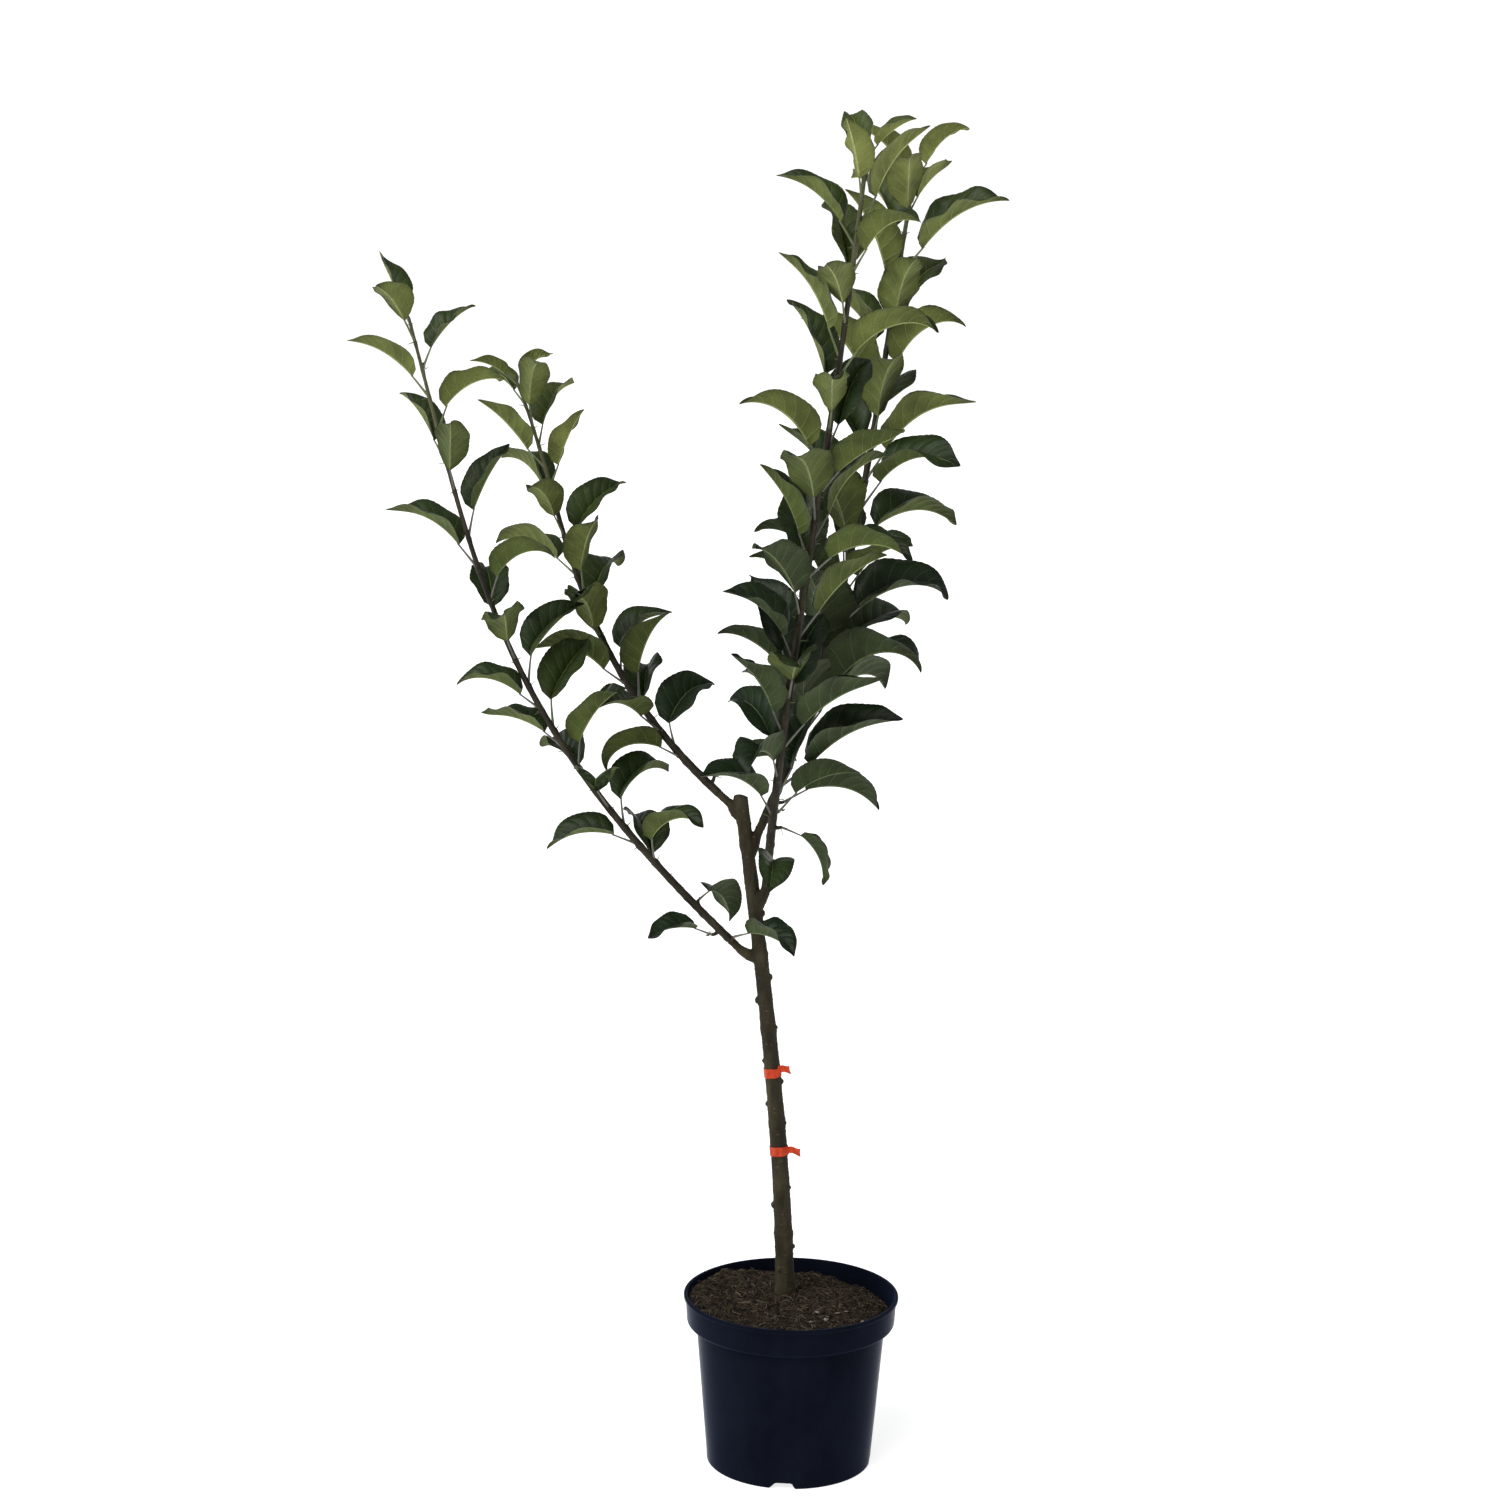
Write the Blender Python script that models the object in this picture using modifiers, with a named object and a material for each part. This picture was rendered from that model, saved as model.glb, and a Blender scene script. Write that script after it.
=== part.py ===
"""Young apple tree in a nursery pot, grafted with several varieties, about 1.74 m tall.

Metres, +Z up. The origin is the middle of the pot's underside, on the ground. -Y is the side seen from
the front, and the four limbs are named as they are seen from there. Headings are degrees anticlockwise from
+X, seen from above.
"""

import math
import random

import bmesh
import bpy
from mathutils import Matrix, Vector
from mathutils.bvhtree import BVHTree

GAP = 0.0003  # between two pieces that meet
UP = Vector((0.0, 0.0, 1.0))

# Pot
POT_HEIGHT = 0.225
LIP_RADIUS = 0.1404
LIP_HEIGHT = 0.005
BAND_TOP_RADIUS = 0.1377
BAND_FOOT_RADIUS = 0.1357
BAND_HEIGHT = 0.038
BODY_TOP_RADIUS = 0.1236
FOOT_RADIUS = 0.1079
POT_WALL = 0.002
FLOOR = 0.003
PAD_RADIUS = 0.076  # the middle of the floor stands on the ground
CHANNEL_LIFT = 0.0085  # the ring round it is raised, for drainage
NOTCH_WIDTH = 0.034
NOTCH_COUNT = 4
NOTCH_HEADING = 266.0
DRAIN_COUNT = 8
DRAIN_SIZE = (0.012, 0.016)
POT_SIDES = 48

# Soil
SOIL_EDGE_Z = 0.2125
SOIL_CROWN_Z = 0.2215
SOIL_SEAT_RADIUS = 0.026
SOIL_ROUGHNESS = 0.005

# Trunk
TRUNK_FOOT = Vector((-0.0080, 0.013, SOIL_CROWN_Z + GAP))
TRUNK_TOP = Vector((-0.0755, 0.016, 0.883))
TRUNK_FOOT_LEAN = Vector((-0.028, 0.0, 1.0))
TRUNK_TOP_LEAN = Vector((-0.143, 0.01, 1.0))
TRUNK_FOOT_RADIUS = 0.0117
TRUNK_TOP_RADIUS = 0.0087
FLARE = 0.0026  # more radius at the soil
FLARE_HEIGHT = 0.022
TOP_CUT_SLOPE = 15.0  # the pruning cut falls to the right
TRUNK_STEP = 0.04
KNOBS = (  # healed buds: distance up the trunk, heading and radius
    (0.0330, 236.0, 0.0032),
    (0.0622, 352.0, 0.0038),
    (0.0930, 98.0, 0.0036),
    (0.1199, 188.0, 0.0047),
    (0.1432, 335.0, 0.0036),
    (0.1620, 72.0, 0.0038),
    (0.2298, 350.0, 0.0031),
    (0.2565, 186.0, 0.0036),
    (0.2850, 352.0, 0.0042),
    (0.3142, 184.0, 0.0031),
    (0.3350, 110.0, 0.0036),
    (0.3575, 352.0, 0.0034),
    (0.3952, 182.0, 0.0050),
    (0.4241, 357.0, 0.0042),
    (0.4680, 62.0, 0.0038),
    (0.5085, 3.0, 0.0046),
)
BAND_HEIGHTS = {"upper": 0.520, "lower": 0.415}

# Marker bands
BAND_WIDTH = 0.0125
BAND_THICKNESS = 0.0009
TAIL_LENGTH = 0.019
TAIL_HEADINGS = {"upper": -38.0, "lower": -24.0}
TAIL_RISES = {"upper": 16.0, "lower": 3.0}
TAIL_LIFTS = {"upper": 0.0035, "lower": 0.0}  # above the middle of its loop

# Leaves
SPIRAL = 144.0  # from one leaf to the next, two turns in five leaves
BLADE_WIDTH = (0.56, 0.70)  # of its length, at the tip and at the foot of a shoot
BLADE_BEND = (44.0, 80.0)  # how far it arches, at the tip and at the foot of a shoot
BLADE_BEND_SPREAD = 34.0
BLADE_THICKNESS = 0.018
PETIOLE = 0.33
PETIOLE_RADIUS = 0.0011
BLADE_STATIONS = (0.07, 0.32, 0.60, 0.83)
CLEAR = 0.0008  # kept free round a leaf when its place is tested
TRIES = 10
SPUR_SEED = 11

# Each limb: where it leaves its collar, its heading, rise and reach there, its tip, and how it arrives.
# Its leaf is the length of a full blade, and its tip_leaf the share of it that the leaves at the tip have.
# Its growth holds, for each mass, the heading of the first leaf and the seed.
LIMBS = {
    "left_low": {
        "foot": (-0.0745, 0.013, 0.683),
        "leaving": (189.0, 44.2, 0.424),
        "tip": (-0.481, -0.100, 1.481),
        "arriving": (196.0, 75.5, 0.353),
        "radii": (0.0052, 0.0017),
        "collar_drop": 0.013,
        "bare": 0.120,
        "masses": ("lower", "middle", "upper"),
        "leaf": 0.097,
        "tip_leaf": 0.85,
        "set": -6.0,
        "internode": 0.0348,
        "spiral": -1,
        "growth": ((110.0, 4106), (185.0, 691), (50.0, 2325)),
    },
    "left_high": {
        "foot": (-0.090, 0.016, 0.873),
        "leaving": (164.6, 38.2, 0.285),
        "tip": (-0.377, 0.160, 1.400),
        "arriving": (157.2, 65.3, 0.195),
        "radii": (0.0053, 0.0016),
        "collar_drop": 0.018,
        "bare": 0.075,
        "masses": ("lower", "middle", "upper"),
        "leaf": 0.094,
        "tip_leaf": 0.62,
        "set": 4.0,
        "internode": 0.0268,
        "spiral": -1,
        "growth": ((175.0, 1113), (240.0, 181), (130.0, 3854)),
    },
    "right_front": {
        "foot": (-0.041, 0.005, 0.765),
        "leaving": (282.5, 71.1, 0.343),
        "tip": (0.065, -0.254, 1.678),
        "arriving": (296.8, 78.4, 0.327),
        "radii": (0.0056, 0.0024),
        "collar_drop": 0.030,
        "bare": 0.095,
        "masses": ("lower", "middle", "upper", "top"),
        "leaf": 0.107,
        "tip_leaf": 0.55,
        "set": 2.0,
        "internode": 0.026,
        "spiral": -1,
        "growth": ((195.0, 6946), (180.0, 927), (350.0, 9020), (240.0, 4060)),
    },
    "right_rear": {
        "foot": (-0.053, 0.018, 0.832),
        "leaving": (32.8, 60.3, 0.312),
        "tip": (0.136, 0.217, 1.667),
        "arriving": (44.4, 76.8, 0.281),
        "radii": (0.0058, 0.0024),
        "collar_drop": 0.026,
        "bare": 0.060,
        "masses": ("lower", "middle", "upper", "top"),
        "leaf": 0.127,
        "tip_leaf": 0.55,
        "set": 2.0,
        "internode": 0.0242,
        "spiral": 1,
        "growth": ((335.0, 2681), (30.0, 1110), (0.0, 98), (50.0, 2573)),
    },
}

# Short spurs with one or two leaves, on the bare wood: the limb that carries each, how far up it sits,
# its heading, how many leaves it has, and their length
SPURS = {
    "spur_left_low_a": ("left_low", 0.016, 318.0, 1, 0.086),
    "spur_left_low_b": ("left_low", 0.036, 208.0, 1, 0.070),
    "spur_left_low_c": ("left_low", 0.078, 62.0, 1, 0.080),
    "spur_left_high": ("left_high", 0.034, 352.0, 1, 0.088),
    "spur_right_front": ("right_front", 0.044, 302.0, 2, 0.084),
    "spur_right_rear": ("right_rear", 0.034, 350.0, 1, 0.096),
    "spur_right_front_upper": ("right_front", 0.090, 340.0, 1, 0.076),
    "spur_right_rear_upper": ("right_rear", 0.048, 5.0, 2, 0.108),
}
SPUR_RADIUS = 0.0022
SPUR_LENGTH = 0.009
SPUR_SET = -14.0

COLOURS = {  # base colour, roughness
    "black_plastic": ((0.012, 0.014, 0.022, 1.0), 0.38),
    "peat": ((0.055, 0.040, 0.026, 1.0), 0.95),
    "old_bark": ((0.105, 0.088, 0.052, 1.0), 0.75),
    "young_bark": ((0.075, 0.048, 0.036, 1.0), 0.60),
    "leaf_green": ((0.062, 0.095, 0.030, 1.0), 0.50),
    "orange_film": ((0.700, 0.085, 0.025, 1.0), 0.45),
}


def direction(heading, rise):
    """Unit vector at a heading and a rise above level, both in degrees."""
    h, r = math.radians(heading), math.radians(rise)
    return Vector((math.cos(h) * math.cos(r), math.sin(h) * math.cos(r), math.sin(r)))


def bezier(p0, p1, p2, p3, t):
    s = 1.0 - t
    return s**3 * p0 + 3 * s * s * t * p1 + 3 * s * t * t * p2 + t**3 * p3


class Limb:
    """A tapering round limb along a cubic curve. Places on it are given by their distance from its foot."""

    SAMPLES = 160

    def __init__(self, controls, radius_at):
        self.points = [bezier(*controls, i / self.SAMPLES) for i in range(self.SAMPLES + 1)]
        self.distances = [0.0]
        for a, b in zip(self.points, self.points[1:]):
            self.distances.append(self.distances[-1] + (b - a).length)
        self.length = self.distances[-1]
        self.radius_at = radius_at

    def at(self, distance):
        """The point and the unit tangent at that distance."""
        distance = min(max(distance, 0.0), self.length)
        i = 0
        while i < self.SAMPLES - 1 and self.distances[i + 1] < distance:
            i += 1
        a, b = self.points[i], self.points[i + 1]
        share = (distance - self.distances[i]) / (b - a).length
        return a.lerp(b, share), (b - a).normalized()

    def radius(self, distance):
        return self.radius_at(min(max(distance / self.length, 0.0), 1.0))

    def across(self, distance, heading):
        """Unit vector square to the limb, on the side that faces the heading."""
        tangent = self.at(distance)[1]
        level = direction(heading, 0.0)
        return (level - tangent * level.dot(tangent)).normalized()


def trunk_limb():
    rise = (TRUNK_TOP - TRUNK_FOOT).length / 3
    controls = (
        TRUNK_FOOT,
        TRUNK_FOOT + TRUNK_FOOT_LEAN.normalized() * rise,
        TRUNK_TOP - TRUNK_TOP_LEAN.normalized() * rise,
        TRUNK_TOP,
    )
    height = (TRUNK_TOP - TRUNK_FOOT).length

    def radius_at(share):
        taper = TRUNK_FOOT_RADIUS + (TRUNK_TOP_RADIUS - TRUNK_FOOT_RADIUS) * min(share * 1.25, 1.0)
        return taper + FLARE * math.exp(-share * height / FLARE_HEIGHT)

    return Limb(controls, radius_at)


def shoot_limb(spec):
    foot, tip = Vector(spec["foot"]), Vector(spec["tip"])
    *leaving, reach = spec["leaving"]
    *arriving, run_in = spec["arriving"]
    thick, thin = spec["radii"]
    controls = (foot, foot + direction(*leaving) * reach, tip - direction(*arriving) * run_in, tip)
    return Limb(controls, lambda share: thin + (thick - thin) * (1.0 - share) ** 0.8)


def material(name):
    found = bpy.data.materials.get(name)
    if found is None:
        colour, roughness = COLOURS[name]
        found = bpy.data.materials.new(name)
        found.use_nodes = True
        shader = found.node_tree.nodes["Principled BSDF"]
        shader.inputs["Base Color"].default_value = colour
        shader.inputs["Roughness"].default_value = roughness
        shader.inputs["Metallic"].default_value = 0.0
    return found


def new_object(name, data, collection, finish):
    made = bpy.data.objects.new(name, data)
    collection.objects.link(made)
    made.data.materials.clear()
    made.data.materials.append(material(finish))
    return made


def helper(made, cutters):
    """Keeps a cutter out of the model."""
    for holder in list(made.users_collection):
        holder.objects.unlink(made)
    cutters.objects.link(made)
    made.hide_render = True
    made.display_type = "WIRE"
    return made


def tube(name, points, radii, collection, finish, resolution):
    """A tube along the points, with a radius at each: 4 + 2 * resolution sides."""
    curve = bpy.data.curves.new(name, "CURVE")
    curve.dimensions = "3D"
    curve.bevel_depth = 1.0
    curve.bevel_resolution = resolution
    curve.use_fill_caps = True
    spline = curve.splines.new("POLY")
    spline.points.add(len(points) - 1)
    for place, point, radius in zip(spline.points, points, radii):
        place.co = (*point, 1.0)
        place.radius = radius
    return new_object(name, curve, collection, finish)


def as_mesh(curve_object):
    """The same object as one closed mesh, for a Boolean."""
    graph = bpy.context.evaluated_depsgraph_get()
    mesh = bpy.data.meshes.new_from_object(curve_object.evaluated_get(graph))
    bm = bmesh.new()
    bm.from_mesh(mesh)
    bmesh.ops.remove_doubles(bm, verts=bm.verts, dist=1e-6)
    bmesh.ops.recalc_face_normals(bm, faces=bm.faces)
    bm.to_mesh(mesh)
    bm.free()
    name, holder = curve_object.name, curve_object.users_collection[0]
    place, finish = curve_object.matrix_world.copy(), curve_object.data.materials[0].name
    bpy.data.objects.remove(curve_object)
    made = new_object(name, mesh, holder, finish)
    made.matrix_world = place
    return made


def limb_tube(name, limb, start, end, step, collection, finish, resolution):
    """The stretch of a limb between two distances, as a mesh."""
    count = max(2, round((end - start) / step) + 1)
    places = [start + (end - start) * i / (count - 1) for i in range(count)]
    points = [limb.at(place)[0] for place in places]
    radii = [limb.radius(place) for place in places]
    return as_mesh(tube(name, points, radii, collection, finish, resolution))


def apply_modifiers(made):
    graph = bpy.context.evaluated_depsgraph_get()
    mesh = bpy.data.meshes.new_from_object(made.evaluated_get(graph))
    made.modifiers.clear()
    made.data = mesh


def join(made, others):
    """Fuses the other objects to this one with one Boolean union, and removes them."""
    extra = bpy.data.collections.new("joined")
    for other in others:
        extra.objects.link(other)
    union = made.modifiers.new("join", "BOOLEAN")
    union.operation = "UNION"
    union.operand_type = "COLLECTION"
    union.collection = extra
    union.solver = "MANIFOLD"
    apply_modifiers(made)
    for other in others:
        bpy.data.objects.remove(other)
    bpy.data.collections.remove(extra)
    return made


def cut(made, cutter):
    modifier = made.modifiers.new("cut", "BOOLEAN")
    modifier.operation = "DIFFERENCE"
    modifier.object = cutter
    modifier.solver = "EXACT"


def box(name, size, matrix, collection, finish):
    bm = bmesh.new()
    bmesh.ops.create_cube(bm, size=1.0)
    bmesh.ops.transform(bm, matrix=Matrix.Diagonal((*size, 1.0)), verts=bm.verts)
    mesh = bpy.data.meshes.new(name)
    bm.to_mesh(mesh)
    bm.free()
    made = new_object(name, mesh, collection, finish)
    made.matrix_world = matrix
    return made


def turned(name, profile, collection, finish):
    """A round shape from its profile, which starts and ends on the axis and runs down its outer side."""
    mesh = bpy.data.meshes.new(name)
    mesh.from_pydata([(r, 0.0, z) for r, z in profile], [(i, i + 1) for i in range(len(profile) - 1)], [])
    made = new_object(name, mesh, collection, finish)
    screw = made.modifiers.new("turn", "SCREW")
    screw.axis = "Z"
    screw.steps = screw.render_steps = POT_SIDES
    screw.use_merge_vertices = True
    screw.merge_threshold = 1e-5
    screw.use_smooth_shade = True
    return made


def frame_matrix(origin, z_axis, x_hint):
    z = z_axis.normalized()
    x = (x_hint - z * x_hint.dot(z)).normalized()
    return Matrix.Translation(origin) @ Matrix((x, z.cross(x), z)).transposed().to_4x4()


def body_radius(z):
    """Outer radius of the pot's tapered wall."""
    return FOOT_RADIUS + (BODY_TOP_RADIUS - FOOT_RADIUS) * z / (POT_HEIGHT - BAND_HEIGHT)


def make_pot(model, cutters):
    band_z = POT_HEIGHT - BAND_HEIGHT
    channel_top = CHANNEL_LIFT + FLOOR
    profile = [
        (0.0, FLOOR),
        (PAD_RADIUS - FLOOR, FLOOR),
        (PAD_RADIUS, channel_top),
        (body_radius(channel_top) - POT_WALL, channel_top),
        (BODY_TOP_RADIUS - POT_WALL, band_z + POT_WALL),
        (BAND_FOOT_RADIUS - POT_WALL, band_z + POT_WALL),
        (BAND_TOP_RADIUS - POT_WALL, POT_HEIGHT - 0.0006),
        (BAND_TOP_RADIUS - POT_WALL + 0.0006, POT_HEIGHT),
        (LIP_RADIUS - 0.001, POT_HEIGHT),
        (LIP_RADIUS, POT_HEIGHT - 0.001),
        (LIP_RADIUS, POT_HEIGHT - LIP_HEIGHT),
        (BAND_TOP_RADIUS, POT_HEIGHT - LIP_HEIGHT - 0.001),
        (BAND_FOOT_RADIUS, band_z),
        (BODY_TOP_RADIUS, band_z),
        (FOOT_RADIUS, 0.0),
        (FOOT_RADIUS - POT_WALL, 0.0),
        (body_radius(CHANNEL_LIFT) - POT_WALL, CHANNEL_LIFT),
        (PAD_RADIUS + FLOOR, CHANNEL_LIFT),
        (PAD_RADIUS, 0.0),
        (0.0, 0.0),
    ]
    pot = turned("pot", profile, model, "black_plastic")
    wall_middle = FOOT_RADIUS - POT_WALL / 2
    for i in range(NOTCH_COUNT):
        outward = direction(NOTCH_HEADING + 360.0 * i / NOTCH_COUNT, 0.0)
        place = frame_matrix(outward * wall_middle, UP, outward)
        size = (0.02, NOTCH_WIDTH, 2 * CHANNEL_LIFT - 0.0006)
        notch = box(f"notch_cutter_{i}", size, place, model, "black_plastic")
        cut(pot, helper(notch, cutters))
    for i in range(DRAIN_COUNT):
        outward = direction(360.0 * (i + 0.5) / DRAIN_COUNT, 0.0)
        middle = outward * (PAD_RADIUS + FOOT_RADIUS) / 2 + UP * (CHANNEL_LIFT + FLOOR / 2)
        place = frame_matrix(middle, UP, outward)
        slot = box(f"drain_cutter_{i}", (*DRAIN_SIZE, 4 * FLOOR), place, model, "black_plastic")
        cut(pot, helper(slot, cutters))
    return pot


def make_soil(model):
    """The planted soil: it fills the pot, and its top is uneven between the trunk and the wall."""
    band_z = POT_HEIGHT - BAND_HEIGHT
    bottom = CHANNEL_LIFT + FLOOR + GAP
    clear = POT_WALL + GAP
    band_flare = (BAND_TOP_RADIUS - BAND_FOOT_RADIUS) / BAND_HEIGHT
    edge = BAND_FOOT_RADIUS + band_flare * (SOIL_EDGE_Z - band_z) - clear
    rough_rings = 5
    profile = [(0.0, SOIL_CROWN_Z), (SOIL_SEAT_RADIUS, SOIL_CROWN_Z)]
    for i in range(1, rough_rings + 1):
        share = i / (rough_rings + 1)
        radius = SOIL_SEAT_RADIUS + (edge - SOIL_SEAT_RADIUS) * share
        profile.append((radius, SOIL_CROWN_Z + (SOIL_EDGE_Z - SOIL_CROWN_Z) * share))
    profile += [
        (edge, SOIL_EDGE_Z),
        (BAND_FOOT_RADIUS - clear, band_z + clear),
        (BODY_TOP_RADIUS - clear, band_z + clear),
        (body_radius(bottom) - clear, bottom),
        (PAD_RADIUS - GAP, bottom),
        (PAD_RADIUS - FLOOR - GAP, FLOOR + GAP),
        (0.0, FLOOR + GAP),
    ]
    soil = turned("soil", profile, model, "peat")
    rough = soil.vertex_groups.new(name="rough_top")
    rough.add(range(2, 2 + rough_rings), 1.0, "REPLACE")
    clods = bpy.data.textures.new("clods", "CLOUDS")
    clods.noise_scale = 0.03
    bumps = soil.modifiers.new("bumps", "DISPLACE")
    bumps.texture = clods
    bumps.direction = "Z"
    bumps.texture_coords = "LOCAL"
    bumps.vertex_group = rough.name
    bumps.strength = SOIL_ROUGHNESS
    return soil


def knob(trunk, distance, heading, radius, collection):
    """A healed bud or pruned twig: a low round knob on the trunk."""
    bm = bmesh.new()
    bmesh.ops.create_uvsphere(bm, u_segments=7, v_segments=5, radius=radius)
    mesh = bpy.data.meshes.new("knob")
    bm.to_mesh(mesh)
    bm.free()
    made = new_object("knob", mesh, collection, "old_bark")
    middle, tangent = trunk.at(distance)
    outward = trunk.across(distance, heading)
    place = middle + outward * trunk.radius(distance)
    made.matrix_world = frame_matrix(place, outward, tangent) @ Matrix.Diagonal((1.25, 1.0, 0.9, 1.0))
    return made


def collar(trunk, spec, limb, collection):
    """The swelling that carries a limb. It ends in a flat face, and the limb starts a gap beyond it."""
    foot, leaving = limb.at(0.0)
    low = min(foot.z - spec["collar_drop"], TRUNK_TOP.z)
    axis = trunk.at(low - TRUNK_FOOT.z)[0]
    thick = spec["radii"][0]
    points = [axis, axis.lerp(foot, 0.55) - UP * 0.002, foot - leaving * 0.004, foot]
    radii = [thick * 1.5, thick * 1.45, thick * 1.16, thick * 1.04]
    return as_mesh(tube("collar", points, radii, collection, "old_bark", 2))


def make_trunk(trunk, limbs, model):
    made = limb_tube("trunk", trunk, 0.0, trunk.length, TRUNK_STEP, model, "old_bark", 4)
    extras = [collar(trunk, LIMBS[name], limb, model) for name, limb in limbs.items()]
    extras += [knob(trunk, *place, model) for place in KNOBS]
    join(made, extras)
    bm = bmesh.new()
    bm.from_mesh(made.data)
    slope = math.radians(TOP_CUT_SLOPE)
    cuts = (
        (TRUNK_FOOT, Vector((0.0, 0.0, -1.0))),
        (TRUNK_TOP, Vector((math.sin(slope), 0.0, math.cos(slope)))),
    )
    for point, normal in cuts:
        geometry = bm.verts[:] + bm.edges[:] + bm.faces[:]
        found = bmesh.ops.bisect_plane(bm, geom=geometry, plane_co=point, plane_no=normal, clear_outer=True)
        edges = [e for e in found["geom_cut"] if isinstance(e, bmesh.types.BMEdge)]
        bmesh.ops.edgenet_fill(bm, edges=edges)
    bmesh.ops.recalc_face_normals(bm, faces=bm.faces)
    bm.to_mesh(made.data)
    bm.free()
    return made


def make_marker_band(label, trunk, model):
    """A loop of plastic film round the trunk, with its free end standing out."""
    distance = BAND_HEIGHTS[label] - TRUNK_FOOT.z
    middle, tangent = trunk.at(distance)
    sides = 16
    inner = (trunk.radius(distance - BAND_WIDTH / 2) + GAP) / math.cos(math.pi / sides)
    bm = bmesh.new()
    bmesh.ops.create_cone(
        bm, cap_ends=False, segments=sides, radius1=inner, radius2=inner, depth=BAND_WIDTH,
    )
    mesh = bpy.data.meshes.new("loop")
    bm.to_mesh(mesh)
    bm.free()
    made = new_object(f"marker_band_{label}", mesh, model, "orange_film")
    made.matrix_world = frame_matrix(middle, tangent, Vector((1.0, 0.0, 0.0)))
    shell = made.modifiers.new("thickness", "SOLIDIFY")
    shell.thickness = BAND_THICKNESS
    shell.offset = 1.0
    apply_modifiers(made)
    outward = direction(TAIL_HEADINGS[label], TAIL_RISES[label])
    start = middle + outward * (inner + BAND_THICKNESS / 2) + tangent * TAIL_LIFTS[label]
    place = frame_matrix(start + outward * TAIL_LENGTH / 2, outward, tangent)
    tail = box("tail", (BAND_WIDTH * 0.8, BAND_THICKNESS * 1.8, TAIL_LENGTH), place, model, "orange_film")
    return join(made, [tail])


def blade_half_width(u):
    """Half the blade's width at a share of its length, as a share of the widest."""
    return math.sin(math.pi * u**0.75) ** 0.62 * (1.0 - 0.22 * u**3)


class Leaf:
    """One leaf: a thin stalk from the wood's axis, then an arching blade folded up along its midrib."""

    def __init__(self, root, wood_radius, stalk, heading, size, width, rise, bend, roll, fold):
        self.root = root
        self.size = size
        self.half_width = size * width / 2
        self.stalk = stalk
        self.neck = root + stalk * (wood_radius + PETIOLE * size)
        self.level = direction(heading, 0.0)
        self.side = self.level.cross(UP)
        self.rise = math.radians(rise)
        self.bend = math.radians(bend)
        self.roll = math.radians(roll)
        self.fold = math.radians(fold)

    def pitch(self, u):
        return self.rise - self.bend * (0.5 * u + 0.5 * u * u)

    def frame(self, u):
        """Along, across and upper-side directions of the blade at a share of its length."""
        pitch = self.pitch(u)
        along = self.level * math.cos(pitch) + UP * math.sin(pitch)
        upper = UP * math.cos(pitch) - self.level * math.sin(pitch)
        c, s = math.cos(self.roll), math.sin(self.roll)
        return along, self.side * c + upper * s, upper * c - self.side * s

    def midrib(self, u, steps=12):
        place = self.neck.copy()
        for i in range(steps):
            place += self.frame(u * (i + 0.5) / steps)[0] * (self.size * u / steps)
        return place

    def sections(self, grow=0.0):
        """Rings of four points, left, upper, right and lower, from root to last station, and the tip."""
        rings = []
        across = self.stalk.cross(self.level.cross(self.stalk)).cross(self.stalk).normalized()
        upper = across.cross(self.stalk).normalized()
        if upper.z < 0.0:
            across, upper = -across, -upper
        for centre in (self.root, self.neck):
            r = PETIOLE_RADIUS + grow
            rings.append([centre - across * r, centre + upper * r, centre + across * r, centre - upper * r])
        half_thick = BLADE_THICKNESS * self.size / 2 + grow
        for u in BLADE_STATIONS:
            _, across, upper = self.frame(u)
            middle = self.midrib(u)
            half = self.half_width * blade_half_width(u) + grow
            fold = self.fold * (1.0 - 0.35 * u)
            out, lift = across * half * math.cos(fold), upper * half * math.sin(fold)
            ridge = upper * half_thick
            rings.append([middle - out + lift, middle + ridge, middle + out + lift, middle - ridge])
        return rings, self.midrib(1.0)

    def surface(self, blade_only=False, grow=0.0):
        """Points and faces of the closed leaf, or of its blade with a margin, for a test."""
        rings, tip = self.sections(grow)
        rings = rings[1:] if blade_only else rings
        points = [p for ring in rings for p in ring] + [tip]
        faces = [(3, 2, 1, 0)]
        for i in range(len(rings) - 1):
            for k in range(4):
                a, b = 4 * i + k, 4 * i + (k + 1) % 4
                # Both skins split from the midrib forward to the margin: split unlike, they would cross
                if k % 2:
                    faces += [(a, b, b + 4), (a, b + 4, a + 4)]
                else:
                    faces += [(a, b, a + 4), (b, b + 4, a + 4)]
        last = 4 * (len(rings) - 1)
        faces += [(last + k, last + (k + 1) % 4, len(points) - 1) for k in range(4)]
        return points, faces

    def mesh_object(self, collection):
        points, faces = self.surface()
        bm = bmesh.new()
        verts = [bm.verts.new(p) for p in points]
        for face in faces:
            bm.faces.new([verts[i] for i in face])
        bmesh.ops.recalc_face_normals(bm, faces=bm.faces)
        mesh = bpy.data.meshes.new("leaf")
        bm.to_mesh(mesh)
        bm.free()
        return new_object("leaf", mesh, collection, "leaf_green")


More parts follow.
